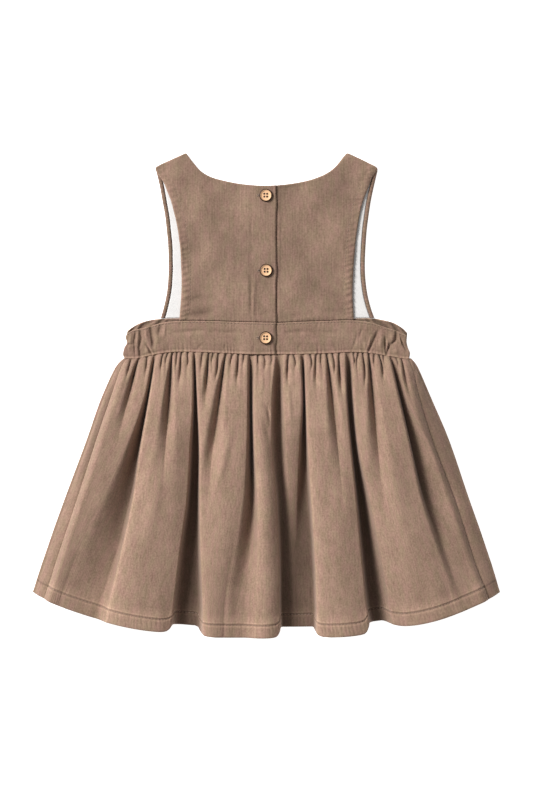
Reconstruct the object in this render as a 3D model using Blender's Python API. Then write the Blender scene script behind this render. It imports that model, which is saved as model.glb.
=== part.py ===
"""A toddler's pinafore dress, laid flat with its buttoned back up.

Frame: X to the right, Y towards the neck, Z up from the surface. The origin is on the surface, under
the middle of the dress. Lengths in the tables and constants are millimetres; the meshes are metres.
The panels lie on each other: front shell, lining, then the two lapped halves of the back. The skirt's
back and front are one family of folds, worked out from the FOLDS table, with the front nested below.
"""

import math
from collections import namedtuple

import bmesh
import bpy
from mathutils import Vector
from mathutils.geometry import delaunay_2d_cdt

MM = 0.001

# Cloth
SEAM = 0.3  # space between pieces where they are sewn
SHELL = 1.2  # front shell
LINING = 1.0
BACK = 1.4  # back shell with its turnings
BAND = 2.2  # waistband, two layers and the elastic
SKIRT = 1.4
NEST = 0.5  # space between the skirt's front and its back, in the valleys
NEST_GAIN = 0.12  # it grows with the folds' height by this share

# Levels of the underside of each layer
FRONT_Z = 0.0
LINING_Z = FRONT_Z + SHELL + SEAM
BACK_Z = LINING_Z + LINING + SEAM
BAND_Z = FRONT_Z + BAND + SEAM
LAP = 5.0  # length of the ramp where the left half climbs over the right one

# The placket: the left half ends at LAP_EDGE, the right half runs under it to UNDER_EDGE
LAP_EDGE = 10.0
UNDER_EDGE = -15.5

# Buttons
BUTTON_R = 6.5
BUTTON_T = 2.6
BUTTON_HOLE_R = 0.8
BUTTON_HOLE_AT = 1.5  # holes' distance from the middle, across and along
BUTTONS = {"button_top": (-0.7, 198.8), "button_middle": (-0.4, 123.7), "button_waist": (-0.9, 56.2)}

# The armholes, from the shoulder down: the back's edges and the front's edges at each level
Armhole = namedtuple("Armhole", "level left right")
BACK_ARMHOLE = [
    Armhole(223.4, -110.9, 110.2),
    Armhole(217.0, -106.5, 105.8),
    Armhole(210.0, -102.1, 103.4),
    Armhole(202.0, -99.1, 100.1),
    Armhole(194.0, -95.9, 97.0),
    Armhole(184.0, -93.2, 94.3),
    Armhole(172.0, -90.3, 92.1),
    Armhole(159.0, -88.1, 90.1),
    Armhole(144.0, -86.3, 88.6),
    Armhole(129.0, -85.6, 87.4),
    Armhole(113.0, -85.1, 86.5),
    Armhole(98.0, -85.5, 86.3),
    Armhole(75.0, -87.3, 87.4),
]
FRONT_ARMHOLE = [
    Armhole(223.4, -110.7, 111.3),
    Armhole(209.0, -107.2, 107.9),
    Armhole(194.0, -104.5, 104.7),
    Armhole(179.0, -101.8, 102.4),
    Armhole(164.0, -100.1, 100.5),
    Armhole(149.0, -98.7, 99.4),
    Armhole(134.0, -98.3, 98.7),
    Armhole(119.0, -98.4, 98.9),
    Armhole(104.0, -99.6, 100.5),
    Armhole(94.0, -101.4, 102.5),
    Armhole(84.0, -103.8, 105.3),
    Armhole(75.0, -106.5, 108.7),
]
SHOULDER_LEFT = [(-111.5, 227.0), (-106.5, 230.0), (-96.5, 234.5), (-86.5, 239.0), (-81.5, 241.4)]
SHOULDER_RIGHT = [(81.8, 241.4), (93.5, 236.0), (103.5, 231.0), (109.1, 228.4), (111.5, 226.0)]
FACING = 3.2  # how much of the armhole facing shows
FRONT_NECK_DROP = 56.0  # the front neckline below the neck points, under the back

# The back neckline, left to right
NECKLINE = [
    (-80.0, 241.2),
    (-76.5, 236.0),
    (-72.5, 231.0),
    (-66.5, 224.0),
    (-56.5, 218.0),
    (-41.5, 213.6),
    (-21.5, 210.0),
    (-1.5, 208.7),
    (18.5, 210.0),
    (38.5, 213.3),
    (53.5, 218.0),
    (63.5, 223.3),
    (70.5, 229.5),
    (77.5, 238.4),
    (80.0, 241.2),
]

# The waistband, a section from its top edge to its bottom seam at each place along it
Band = namedtuple("Band", "top_x back_top front_top bottom_x bottom")
BAND_SECTIONS = [
    Band(-139.5, 60.5, 63.5, -144.5, 35.2),
    Band(-134.0, 64.0, 68.5, -138.5, 35.0),
    Band(-126.5, 65.5, 72.0, -130.5, 34.9),
    Band(-116.5, 68.0, 74.2, -118.5, 37.5),
    Band(-106.5, 71.0, 75.5, -106.5, 40.0),
    Band(-91.5, 73.0, 76.0, -91.5, 41.7),
    Band(-66.5, 73.5, 76.0, -66.5, 41.5),
    Band(-16.5, 72.0, 76.0, -16.5, 39.5),
    Band(9.5, 71.5, 76.0, 9.5, 39.5),
    Band(33.5, 72.5, 76.0, 33.5, 39.5),
    Band(63.5, 73.5, 76.0, 63.5, 40.5),
    Band(85.5, 74.0, 76.0, 85.5, 41.5),
    Band(105.5, 71.5, 76.0, 105.5, 40.5),
    Band(118.5, 67.0, 74.0, 119.5, 38.0),
    Band(128.5, 64.0, 71.0, 131.5, 36.0),
    Band(136.5, 60.5, 66.0, 140.0, 34.8),
    Band(141.0, 58.5, 61.5, 145.5, 34.8),
]
RUCHED = 100.0  # the elastic gathers the band beyond this distance from the middle
RUCHE_STEP = 6.4
RUCHE_RISE = 0.9

# The skirt's two sides at each drop below the waist seam: the outer edge, where the front's cloth turns
# over, and the side seam, which lies on the back
WAIST = 39.0
Side = namedtuple("Side", "drop edge_left seam_left seam_right edge_right")
SIDES = [
    Side(0.0, -145.0, -140.8, 141.8, 145.8),
    Side(15.0, -153.5, -146.0, 146.2, 153.0),
    Side(45.0, -166.5, -156.5, 153.5, 166.0),
    Side(85.0, -180.5, -170.0, 165.5, 183.0),
    Side(145.0, -202.8, -189.5, 188.5, 203.5),
    Side(205.0, -224.4, -209.5, 207.5, 224.8),
    Side(237.0, -234.8, -219.5, 219.0, 234.5),
    Side(285.0, -251.0, -236.0, 236.0, 250.0),
]
MID = 85.0
LOW = 265.0
HEM_DROP = 281.5  # the hem in the middle, below the waist seam
HEM_RISE = 43.9  # how much higher it is at the sides
HEM_HALF = 234.0
HEM_POWER_LEFT = 2.65
HEM_POWER_RIGHT = 3.0
CREST_TOP = 3.2  # height of the folds at the waist seam
CREST_GAIN = 20.8  # how much higher they grow
CREST_REACH = 62.0
SIDE_RISE = 0.22  # share of that height at the side seams
SIDE_RUN = 30.0
TINY_REACH = 26.0  # the smallest gathers, one between each two neighbours
TINY_DEPTH = 0.42
TINY_WIDTH = 2.4
COLUMN = 8.0  # the widest a column may be near the hem

# A row for each valley between two folds: where it runs across at the waist, MID and LOW, how far down
# it reaches, how deep it is at MID and at LOW as a share of the fold's height, its half-width at the
# waist and those of its left and right flanks at LOW, and how much it lifts the hem
Fold = namedtuple("Fold", "waist mid low reach depth low_depth narrow left right lift")
FOLDS = [
    Fold(-127.5, -150.0, -213.0, 78, 0.72, 0.0, 3.4, 8.0, 8.0, 0.0),
    Fold(-113.0, -130.5, -202.5, 400, 0.98, 0.36, 3.4, 20.0, 24.0, 0.0),
    Fold(-96.0, -106.0, -129.0, 165, 0.80, 0.0, 3.4, 8.0, 8.0, 0.0),
    Fold(-86.0, -92.0, -108.0, 40, 0.55, 0.0, 2.8, 5.0, 5.0, 0.0),
    Fold(-71.5, -72.5, -82.5, 400, 1.14, 1.12, 3.6, 12.5, 12.5, 11.0),
    Fold(-61.0, -67.0, -72.0, 62, 0.70, 0.0, 3.0, 5.0, 5.0, 0.0),
    Fold(-50.0, -60.0, -67.0, 34, 0.40, 0.0, 2.8, 5.0, 5.0, 0.0),
    Fold(-41.0, -54.0, -62.0, 98, 0.70, 0.0, 3.2, 7.0, 7.0, 0.0),
    Fold(-28.5, -36.0, -54.0, 36, 0.45, 0.0, 2.8, 5.0, 5.0, 0.0),
    Fold(-15.5, -18.5, -44.0, 400, 1.00, 0.42, 3.6, 18.0, 15.0, 0.0),
    Fold(10.8, 10.8, 20.0, 400, 1.08, 1.10, 3.2, 8.0, 13.0, 9.0),
    Fold(22.5, 23.8, 28.0, 40, 0.55, 0.0, 2.8, 5.0, 5.0, 0.0),
    Fold(35.5, 36.0, 37.5, 400, 0.86, 1.05, 3.2, 11.0, 9.5, 9.0),
    Fold(46.0, 48.5, 55.0, 40, 0.50, 0.0, 2.8, 5.0, 5.0, 0.0),
    Fold(60.0, 66.0, 78.0, 112, 0.75, 0.0, 3.4, 6.0, 6.0, 0.0),
    Fold(71.0, 76.5, 92.0, 38, 0.55, 0.0, 2.8, 5.0, 5.0, 0.0),
    Fold(79.5, 85.5, 108.0, 400, 1.14, 1.12, 3.6, 9.0, 12.0, 11.0),
    Fold(93.5, 98.5, 119.0, 40, 0.50, 0.0, 2.8, 5.0, 5.0, 0.0),
    Fold(101.5, 110.0, 134.0, 106, 0.78, 0.0, 3.4, 8.0, 16.0, 3.0),
    Fold(111.0, 125.0, 158.0, 36, 0.45, 0.0, 2.8, 5.0, 5.0, 0.0),
    Fold(122.5, 143.0, 199.0, 400, 1.00, 0.32, 3.6, 13.0, 24.0, 0.0),
    Fold(133.5, 154.5, 214.0, 52, 0.66, 0.0, 3.0, 8.0, 8.0, 0.0),
]
DROPS = [0.0, 5.0, 11.0, 20.0, 32.0, 50.0, 76.0, 112.0, 155.0, 200.0]
HEM = 13.0  # depth of the turned hem


def smooth(t):
    """0 to 1 with level ends."""
    t = min(1.0, max(0.0, t))
    return t * t * (3.0 - 2.0 * t)


def mix(a, b, t):
    return a + (b - a) * t


def through(rows, key, value, at):
    """The value at a place between the rows of a table, on a curve with no overshoot to speak of."""
    rows = sorted(rows, key=key)
    last = len(rows) - 1
    if at <= key(rows[0]):
        return value(rows[0])
    if at >= key(rows[last]):
        return value(rows[last])
    i = next(n for n in range(last) if key(rows[n + 1]) >= at)
    x0, x1 = key(rows[i]), key(rows[i + 1])
    t = (at - x0) / (x1 - x0)

    def slope(n):
        low, high = max(0, n - 1), min(last, n + 1)
        return (value(rows[high]) - value(rows[low])) / (key(rows[high]) - key(rows[low]))

    a, b = value(rows[i]), value(rows[i + 1])
    h = x1 - x0
    return (
        (2 * t**3 - 3 * t**2 + 1) * a
        + (t**3 - 2 * t**2 + t) * h * slope(i)
        + (3 * t**2 - 2 * t**3) * b
        + (t**3 - t**2) * h * slope(i + 1)
    )


def armhole(table, side, level):
    return through(table, lambda r: r.level, lambda r: getattr(r, side), level)


def neckline(across):
    return through(NECKLINE, lambda r: r[0], lambda r: r[1], across)


def band_edge(across, edge, foot="top_x"):
    """The level of one edge of the waistband at a place across."""
    return through(BAND_SECTIONS, lambda r: getattr(r, foot), lambda r: getattr(r, edge), across)


# Materials and meshes


def material(name, colour, roughness):
    mat = bpy.data.materials.new(name)
    mat.use_nodes = True
    shader = mat.node_tree.nodes["Principled BSDF"]
    shader.inputs["Base Color"].default_value = (*colour, 1.0)
    shader.inputs["Roughness"].default_value = roughness
    shader.inputs["Metallic"].default_value = 0.0
    mat.diffuse_color = (*colour, 1.0)
    return mat


def add_object(name, points, faces, mat, location=(0.0, 0.0, 0.0)):
    """A named object from points in millimetres."""
    mesh = bpy.data.meshes.new(name)
    mesh.from_pydata([Vector(p) * MM for p in points], [], faces)
    mesh.materials.append(mat)
    mesh.update()
    obj = bpy.data.objects.new(name, mesh)
    obj.location = Vector(location) * MM
    bpy.context.scene.collection.objects.link(obj)
    return obj


def grid_wall(name, upper, lower, mat):
    """A closed wall between two grids of points, rows by columns, with its four edges joined."""
    rows, columns = len(upper), len(upper[0])
    points = [p for row in upper for p in row] + [p for row in lower for p in row]
    under = rows * columns
    faces = []
    for j in range(rows - 1):
        for k in range(columns - 1):
            a, b = j * columns + k, (j + 1) * columns + k
            faces.append((a, b, b + 1, a + 1))
            faces.append((under + a, under + a + 1, under + b + 1, under + b))
    rim = [k for k in range(columns)]
    rim += [j * columns + columns - 1 for j in range(1, rows)]
    rim += [(rows - 1) * columns + k for k in range(columns - 2, -1, -1)]
    rim += [j * columns for j in range(rows - 2, 0, -1)]
    for a, b in zip(rim, rim[1:] + rim[:1]):
        faces.append((a, b, under + b, under + a))
    return facing_out(add_object(name, points, faces, mat))


def panel_wall(name, outline, under_side, thickness, mat, step=17.0, extra=()):
    """A closed wall cut to an outline, lying at under_side(x, y)."""
    xs, ys = [p[0] for p in outline], [p[1] for p in outline]
    inner = [Vector(p) for p in extra]
    for i in range(1, int((max(xs) - min(xs)) / step) + 1):
        for j in range(1, int((max(ys) - min(ys)) / step) + 1):
            p = Vector((min(xs) + (i - 0.5) * step, min(ys) + (j - 0.5) * step))
            if inside(p, outline, step * 0.4) and all((p - q).length > step * 0.6 for q in inner):
                inner.append(p)
    border = [Vector(p) for p in outline]
    ring = list(range(len(border)))
    flat, _, triangles = delaunay_2d_cdt(border + inner, [], [ring], 1, 1e-4)[:3]
    top = [(p.x, p.y, under_side(p.x, p.y) + thickness) for p in flat]
    low = [(p.x, p.y, under_side(p.x, p.y)) for p in flat]
    count = len(flat)
    faces, edges = [], set()
    for tri in triangles:
        faces.append(tuple(tri))
        faces.append(tuple(count + i for i in reversed(tri)))
        for a, b in zip(tri, list(tri[1:]) + [tri[0]]):
            edges.add((a, b))
    for a, b in sorted(edges):
        if (b, a) not in edges:
            faces.append((b, a, count + a, count + b))
    return facing_out(add_object(name, top + low, faces, mat))


def inside(p, outline, margin):
    """True if p is in the outline and at least margin from its sides."""
    odd = False
    for (ax, ay), (bx, by) in zip(outline, outline[1:] + outline[:1]):
        a, b = Vector((ax, ay)), Vector((bx, by))
        t = min(1.0, max(0.0, (p - a).dot(b - a) / max((b - a).length_squared, 1e-9)))
        if (p - a - (b - a) * t).length < margin:
            return False
        if (ay > p.y) != (by > p.y) and p.x < ax + (p.y - ay) * (bx - ax) / (by - ay):
            odd = not odd
    return odd


def facing_out(obj):
    bm = bmesh.new()
    bm.from_mesh(obj.data)
    bmesh.ops.recalc_face_normals(bm, faces=bm.faces)
    bm.to_mesh(obj.data)
    bm.free()
    return obj


# Bodice


def armhole_line(table, side, inset=0.0, levels=15):
    """Points down one armhole edge, from the shoulder to the waistband."""
    sign = 1.0 if side == "left" else -1.0
    foot = band_edge(-104.0 if side == "left" else 106.0, "front_top") if table is FRONT_ARMHOLE else None
    high = table[0].level
    points = []
    for i in range(levels):
        t = i / (levels - 1)
        if foot is None:
            across = armhole(table, side, 75.0)
            low = band_edge(across, "back_top") + SEAM
        else:
            low = foot + SEAM
        level = mix(high, low, t)
        points.append((armhole(table, side, level) + sign * inset, level))
    return points


def places_between(start, end, count, also=()):
    """Even places from start to end, with some more among them."""
    even = [mix(start, end, i / (count - 1)) for i in range(count)]
    gap = abs(end - start) / (count - 1) * 0.3
    kept = [x for x in even if all(abs(x - a) > gap for a in also) or x in (start, end)]
    return sorted([*kept, *also], reverse=start > end)


def waist_line(start, end, edge, count, also=()):
    """Points along a waistband edge, a seam's width above it."""
    return [(x, band_edge(x, edge) + SEAM) for x in places_between(start, end, count, also)]


def neck_part(start, end, count, also=()):
    return [(x, neckline(x)) for x in places_between(start, end, count, also)]


def lapped(z, across):
    """The left half's underside: it climbs over the right half before the placket."""
    return z + (BACK + SEAM) * smooth((across - (UNDER_EDGE - 1.0 - LAP)) / LAP)


def ramp():
    """The foot, the middle and the top of the ramp, as places across."""
    top = UNDER_EDGE - 1.0
    return (top - LAP, top - LAP / 2, top)


def back_bodice(mat):
    left_arm = armhole_line(BACK_ARMHOLE, "left")
    outline = neck_part(LAP_EDGE, -80.0, 15, ramp())
    outline += [*reversed(SHOULDER_LEFT), *left_arm]
    outline += waist_line(left_arm[-1][0] + 8.0, LAP_EDGE, "back_top", 9, ramp())
    creases = [(x, 90.0 + 17.0 * i) for x in ramp() for i in range(7)]
    panel_wall(
        "back_bodice_left", outline, lambda x, y: lapped(BACK_Z, x), BACK, mat, extra=creases
    )
    right_arm = armhole_line(BACK_ARMHOLE, "right")
    outline = [(UNDER_EDGE, neckline(UNDER_EDGE)), *neck_part(-9.0, 80.0, 15)]
    outline += [*SHOULDER_RIGHT, *right_arm]
    outline += waist_line(right_arm[-1][0] - 8.0, UNDER_EDGE, "back_top", 10)
    panel_wall("back_bodice_right", outline, lambda x, y: BACK_Z, BACK, mat)


def front_neck(inset, count=13):
    """The front neckline, a half ellipse between the neck points."""
    half = 80.0 + inset
    points = []
    for i in range(count):
        angle = math.pi * i / (count - 1)
        x = -half * math.cos(angle)
        points.append((x, 241.0 - inset * 0.6 - (FRONT_NECK_DROP + inset) * math.sin(angle) ** 0.7))
    return points


def front_bodice(shell, lining):
    left = armhole_line(FRONT_ARMHOLE, "left")
    right = armhole_line(FRONT_ARMHOLE, "right")
    outline = [*front_neck(0.3), *SHOULDER_RIGHT, *right]
    outline += waist_line(right[-1][0] - 12.0, left[-1][0] + 12.0, "front_top", 11)
    outline += [*reversed(left), *SHOULDER_LEFT[:-1]]
    panel_wall("front_bodice", outline, lambda x, y: FRONT_Z, SHELL, shell)

    left = armhole_line(FRONT_ARMHOLE, "left", FACING + SEAM)
    right = armhole_line(FRONT_ARMHOLE, "right", FACING + SEAM)
    outline = [*front_neck(3.0), (93.5, 232.5), (103.5, 227.5), *right]
    outline += waist_line(right[-1][0] - 12.0, left[-1][0] + 12.0, "front_top", 11)
    outline += [*reversed(left), (-103.5, 227.5), (-93.5, 232.5)]
    panel_wall("front_lining", outline, lambda x, y: LINING_Z, LINING, lining)

    for side, sign in (("left", 1.0), ("right", -1.0)):
        outer = armhole_line(FRONT_ARMHOLE, side)
        inner = armhole_line(FRONT_ARMHOLE, side, FACING)
        name = "armhole_facing_" + side
        upper = [[(x, y, LINING_Z + SHELL) for x, y in pair] for pair in zip(outer, inner)]
        lower = [[(x, y, LINING_Z) for x, y in pair] for pair in zip(outer, inner)]
        grid_wall(name, upper, lower, shell)


# Waistband


def ruche(across):
    """The ripple that the elastic gathers into the band, at its two sides."""
    share = smooth((abs(across) - RUCHED) / 12.0)
    return RUCHE_RISE * share * (0.5 - 0.5 * math.cos(2 * math.pi * abs(across) / RUCHE_STEP))


def band_wall(name, start, end, top, underside, mat, plain_step=12.0, rippled=True):
    """One length of the waistband, with close columns where it is ruched."""
    places = [start]
    while places[-1] < end - 0.1:
        ruched = abs(places[-1] + 0.1) > RUCHED - 2.0
        step = RUCHE_STEP / 2 if ruched else plain_step
        places.append(min(end, places[-1] + step))
        if end - places[-1] < step * 0.4:
            places[-1] = end
    upper, lower = [], []
    for v in (0.0, 0.12, 0.5, 0.88, 1.0):
        high_row, low_row = [], []
        for x in places:
            foot = through(BAND_SECTIONS, lambda r: r.top_x, lambda r: r.bottom_x, x)
            level = mix(band_edge(x, top), band_edge(x, "bottom"), v)
            across = mix(x, foot, v)
            z = underside(across)
            at_edge = v in (0.0, 1.0)
            ripple = ruche(x) * (0.25 if at_edge else 1.0) if rippled else 0.0
            low_row.append((across, level, z))
            high_row.append((across, level, z + BAND + ripple - (0.5 if at_edge else 0.0)))
        upper.append(high_row)
        lower.append(low_row)
    return grid_wall(name, upper, lower, mat)


def waistband(mat):
    first, last = BAND_SECTIONS[0].top_x, BAND_SECTIONS[-1].top_x
    band_wall("waistband_front", first, last, "front_top", lambda x: FRONT_Z, mat, rippled=False)
    climb = BAND + SEAM

    def left_under(x):
        return BAND_Z + climb * smooth((x - (UNDER_EDGE - 1.0 - LAP)) / LAP)

    band_wall("waistband_back_left", first, LAP_EDGE, "back_top", left_under, mat, 4.0)
    band_wall("waistband_back_right", UNDER_EDGE, last, "back_top", lambda x: BAND_Z, mat)


# Skirt


def side(name, drop):
    return through(SIDES, lambda r: r.drop, lambda r: getattr(r, name), drop)


def along(fold, drop):
    """Where a fold's valley runs at a drop below the seam, on a parabola through its three places."""
    a = (drop - MID) * (drop - LOW) / (MID * LOW)
    b = drop * (drop - LOW) / (MID * (MID - LOW))
    c = drop * (drop - MID) / (LOW * (LOW - MID))
    return fold.waist * a + fold.mid * b + fold.low * c


def all_folds():
    """The table's folds with the smallest gathers put in between them."""
    places = [[side("seam_left", d) for d in (0.0, MID, LOW)]]
    places += [[fold.waist, fold.mid, fold.low] for fold in FOLDS]
    places.append([side("seam_right", d) for d in (0.0, MID, LOW)])
    folds = []
    for i, (a, b) in enumerate(zip(places, places[1:])):
        middle = [(p + q) / 2 for p, q in zip(a, b)]
        folds.append(Fold(*middle, TINY_REACH, TINY_DEPTH, 0.0, TINY_WIDTH, 4.0, 4.0, 0.0))
        folds.extend(FOLDS[i : i + 1])
    return folds


def valley_places(drop, folds):
    """Every valley's place across at a drop, from side seam to side seam."""
    return [side("seam_left", drop), *(along(f, drop) for f in folds), side("seam_right", drop)]


def column_list(folds):
    """Columns run down every valley and evenly between, at least one between each two."""
    low = valley_places(LOW, folds)
    columns = []
    for i, (a, b) in enumerate(zip(low, low[1:])):
        count = max(2, math.ceil((b - a) / COLUMN))
        columns += [i + n / count for n in range(count)]
    return [*columns, float(len(low) - 1)]


def column_place(column, drop, folds):
    places = valley_places(drop, folds)
    i = min(int(column), len(places) - 2)
    return mix(places[i], places[i + 1], column - i)


def fold_height(across, drop, folds):
    """Height of the cloth above its lowest level."""
    left, right = side("seam_left", drop), side("seam_right", drop)
    inward = min(1.0, min(across - left, right - across) / SIDE_RUN)
    crest = CREST_TOP + CREST_GAIN * (1.0 - math.exp(-drop / CREST_REACH))
    shape = mix(SIDE_RISE, 1.0, math.sin(max(0.0, inward) * math.pi / 2))
    spread = (drop / LOW) ** 1.3
    lower = smooth((drop - MID * 0.8) / (LOW - MID))
    for fold in folds:
        fade = 1.0 - smooth((drop / fold.reach - 0.35) / 0.65)
        if fade <= 0.0:
            continue
        away = across - along(fold, drop)
        width = mix(fold.narrow, fold.left if away < 0.0 else fold.right, spread)
        depth = mix(fold.depth, fold.low_depth, lower) * fade
        shape *= max(0.0, 1.0 - depth / (1.0 + abs(away / width) ** 3))
    return crest * shape


def hem_drop(across, folds):
    """The hem's drop below the waist seam: a low curve, lifted in the valleys."""
    power = HEM_POWER_LEFT if across < 0.0 else HEM_POWER_RIGHT
    lifts = [0.0]
    for fold in folds:
        away = across - fold.low
        width = (fold.left if away < 0.0 else fold.right) * 1.25
        lifts.append(fold.lift / (1.0 + (away / width) ** 4))
    return HEM_DROP - HEM_RISE * abs(across / HEM_HALF) ** power - max(lifts)


def skirt_middle():
    """The middle surface of the skirt's back: rows of points from the waist seam to the hem."""
    folds = all_folds()
    level = NEST + SKIRT * 1.5
    rows = [[] for _ in range(len(DROPS) + 3)]
    for column in column_list(folds):
        start, end = 0.0, HEM_DROP
        for _ in range(4):  # neither seam nor hem is level, so place and drop settle together
            start = WAIST - band_edge(column_place(column, start, folds), "bottom", "bottom_x") + SEAM
            end = hem_drop(column_place(column, end, folds), folds)
        drops = [d + start * max(0.0, 1.0 - d / 43.0) for d in DROPS]
        drops += [(DROPS[-1] + end - HEM) / 2, end - HEM, end]
        for row, drop in zip(rows, drops):
            across = column_place(column, drop, folds)
            row.append(Vector((across, WAIST - drop, level + fold_height(across, drop, folds))))
    return rows


def normals(rows):
    """The upward normal of a grid at each point, square to the seams along its first row and sides."""
    out = []
    for j, row in enumerate(rows):
        line = []
        for k in range(len(row)):
            across = row[min(k + 1, len(row) - 1)] - row[max(k - 1, 0)]
            down = rows[min(j + 1, len(rows) - 1)][k] - rows[max(j - 1, 0)][k]
            normal = down.cross(across)
            if j == 0:
                normal.y = 0.0
            if k in (0, len(row) - 1):
                normal.x = 0.0
            line.append(normal.normalized())
        out.append(line)
    return out


def moved(rows, directions, distance):
    return [[p + n * distance for p, n in zip(*pair)] for pair in zip(rows, directions)]


def wrap(seam_top, seam_low, edge, sign, level):
    """The front's cloth from under the side seam, out to the edge, round it and back to the seam.

    level(x) is the row's level at a place across, because the hem goes on rising towards the edge.
    """
    half = SKIRT / 2
    turn = min(1.5, 0.35 * abs(seam_low.x - edge))
    centre = edge + sign * (half + turn)
    out = []
    span = seam_low.x - centre
    for t in (0.35, 0.75):
        fall = smooth(t / 0.75)
        x = seam_low.x - span * t
        out.append(Vector((x, level(x), mix(seam_low.z, half, fall))))
    for angle in (-90, -145, -180, -215, -270):
        a = math.radians(angle)
        x = centre + sign * turn * math.cos(a)
        out.append(Vector((x, level(x), half + turn + turn * math.sin(a))))
    end = seam_top.x - sign * (SEAM + 0.1)
    high = half + 2 * turn
    for t in (0.35, 0.7, 1.0):
        x = mix(centre, end, t)
        out.append(Vector((x, level(x), mix(high, seam_top.z, t**0.8))))
    return out


def skirt(mat):
    middle = skirt_middle()
    up = normals(middle)
    grid_wall("skirt_back", moved(middle, up, SKIRT / 2), moved(middle, up, -SKIRT / 2), mat)

    below = moved(middle, up, -(SKIRT + NEST))
    rows = []
    for j, row in enumerate(below):
        for k, p in enumerate(row):
            drop = NEST_GAIN * max(0.0, p.z - SKIRT)
            row[k] = Vector((p.x, p.y, max(p.z - drop, SKIRT / 2)))
        share = (0.0, 0.5, 1.0, 1.0)[max(0, j - len(below) + 4)]
        ends = []
        for seam_top, seam_low, name, sign in (
            (middle[j][0], row[0], "edge_left", 1.0),
            (middle[j][-1], row[-1], "edge_right", -1.0),
        ):
            at_seam = hem_drop(seam_low.x, FOLDS)

            def level(x, y=seam_low.y, at_seam=at_seam, share=share):
                return y + (at_seam - hem_drop(x, FOLDS)) * share

            edge = side(name, WAIST - level(side(name, WAIST - seam_low.y)))
            ends.append(wrap(seam_top, seam_low, edge, sign, level))
        if j == len(below) - 1:  # hidden under the back's hem, it is a little shorter
            row = [p + Vector((0.0, 2.0, 0.0)) for p in row]
        rows.append([*reversed(ends[0]), *row, *ends[1]])
    up = normals(rows)
    upper = moved(rows, up, SKIRT / 2)
    lower = moved(rows, up, -SKIRT / 2)
    for row in lower:
        for p in row:
            p.z = max(p.z, 0.0)
    for row in upper:
        for p in row:
            p.z = max(p.z, 0.0)
    grid_wall("skirt_front", upper, lower, mat)


# Buttons


def button(name, place, level, mat):
    """A turned four-hole button with a raised rim and a dished face."""
    profile = [
        (0.0, 0.0),
        (BUTTON_R * 0.72, 0.0),
        (BUTTON_R * 0.94, 0.45),
        (BUTTON_R, 1.1),
        (BUTTON_R * 0.96, BUTTON_T - 0.35),
        (BUTTON_R * 0.82, BUTTON_T),
        (BUTTON_R * 0.64, BUTTON_T - 0.9),
        (0.0, BUTTON_T - 1.0),
    ]
    bm = bmesh.new()
    around = 24
    rings = []
    for r, z in profile:
        if r == 0.0:
            rings.append([bm.verts.new(Vector((0.0, 0.0, z)) * MM)] * around)
            continue
        ring = []
        for i in range(around):
            a = 2 * math.pi * i / around
            ring.append(bm.verts.new(Vector((r * math.cos(a), r * math.sin(a), z)) * MM))
        rings.append(ring)
    for low, high in zip(rings, rings[1:]):
        for i in range(around):
            j = (i + 1) % around
            corners = [low[i], low[j], high[j], high[i]]
            bm.faces.new(sorted(set(corners), key=corners.index))
    bmesh.ops.recalc_face_normals(bm, faces=bm.faces)
    mesh = bpy.data.meshes.new(name)
    bm.to_mesh(mesh)
    bm.free()
    mesh.materials.append(mat)
    obj = bpy.data.objects.new(name, mesh)
    obj.location = Vector((*place, level)) * MM
    bpy.context.scene.collection.objects.link(obj)

    cutter_mesh = bpy.data.meshes.new(name + "_drill")
    bm = bmesh.new()
    for sx in (-1, 1):
        for sy in (-1, 1):
            made = bmesh.ops.create_cone(
                bm, cap_ends=True, segments=10, depth=8 * MM,
                radius1=BUTTON_HOLE_R * MM, radius2=BUTTON_HOLE_R * MM,
            )
            shift = Vector((sx * BUTTON_HOLE_AT, sy * BUTTON_HOLE_AT, 0.0)) * MM
            bmesh.ops.translate(bm, verts=made["verts"], vec=shift)
    bm.to_mesh(cutter_mesh)
    bm.free()
    cutter = bpy.data.objects.new(name + "_drill", cutter_mesh)
    cutter.location = obj.location
    cutter.hide_render = True
    cutter.display_type = "WIRE"
    bpy.context.scene.collection.objects.link(cutter)
    cut = obj.modifiers.new("holes", "BOOLEAN")
    cut.operation = "DIFFERENCE"
    cut.solver = "EXACT"
    cut.object = cutter


def centre():
    """Moves everything so that the origin is under the exact middle of the dress."""
    parts = [obj for obj in bpy.data.objects if obj.type == "MESH"]
    bpy.context.view_layer.update()
    points = [obj.matrix_world @ vertex.co for obj in parts for vertex in obj.data.vertices]
    middle = [(min(p[i] for p in points) + max(p[i] for p in points)) / 2 for i in (0, 1)]
    for obj in parts:
        obj.location -= Vector((*middle, 0.0))


def main():
    for obj in list(bpy.data.objects):
        bpy.data.objects.remove(obj)
    cord = material("cord_cloth", (0.30, 0.205, 0.145), 0.9)
    cotton = material("lining_cotton", (0.80, 0.79, 0.76), 0.85)
    wood = material("button_wood", (0.72, 0.45, 0.22), 0.45)
    front_bodice(cord, cotton)
    back_bodice(cord)
    waistband(cord)
    skirt(cord)
    on_bodice = BACK_Z + 2 * BACK + 2 * SEAM
    on_band = BAND_Z + 2 * BAND + 2 * SEAM
    for name, place in BUTTONS.items():
        button(name, place, on_band if name == "button_waist" else on_bodice, wood)
    centre()


main()
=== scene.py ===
# %% [markdown]
# # A pinafore dress, laid flat with its buttoned back up
#
# The real dress is sewn from fine-wale corduroy: a thin cotton cloth with narrow ribs of cut pile. Eleven
# pieces of cloth and three wooden buttons lie on each other on a table. The solid model gives the exact
# place of each of them, and this script dresses each one: it rebuilds the cloth as a thin shell with its
# gathers, folds and stitches, and gives it a pile that catches the light.
#
# Lengths in the tables are millimetres, as on a pattern sheet. Blender works in metres, so the points of
# a mesh are multiplied by MM where it is made.

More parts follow.
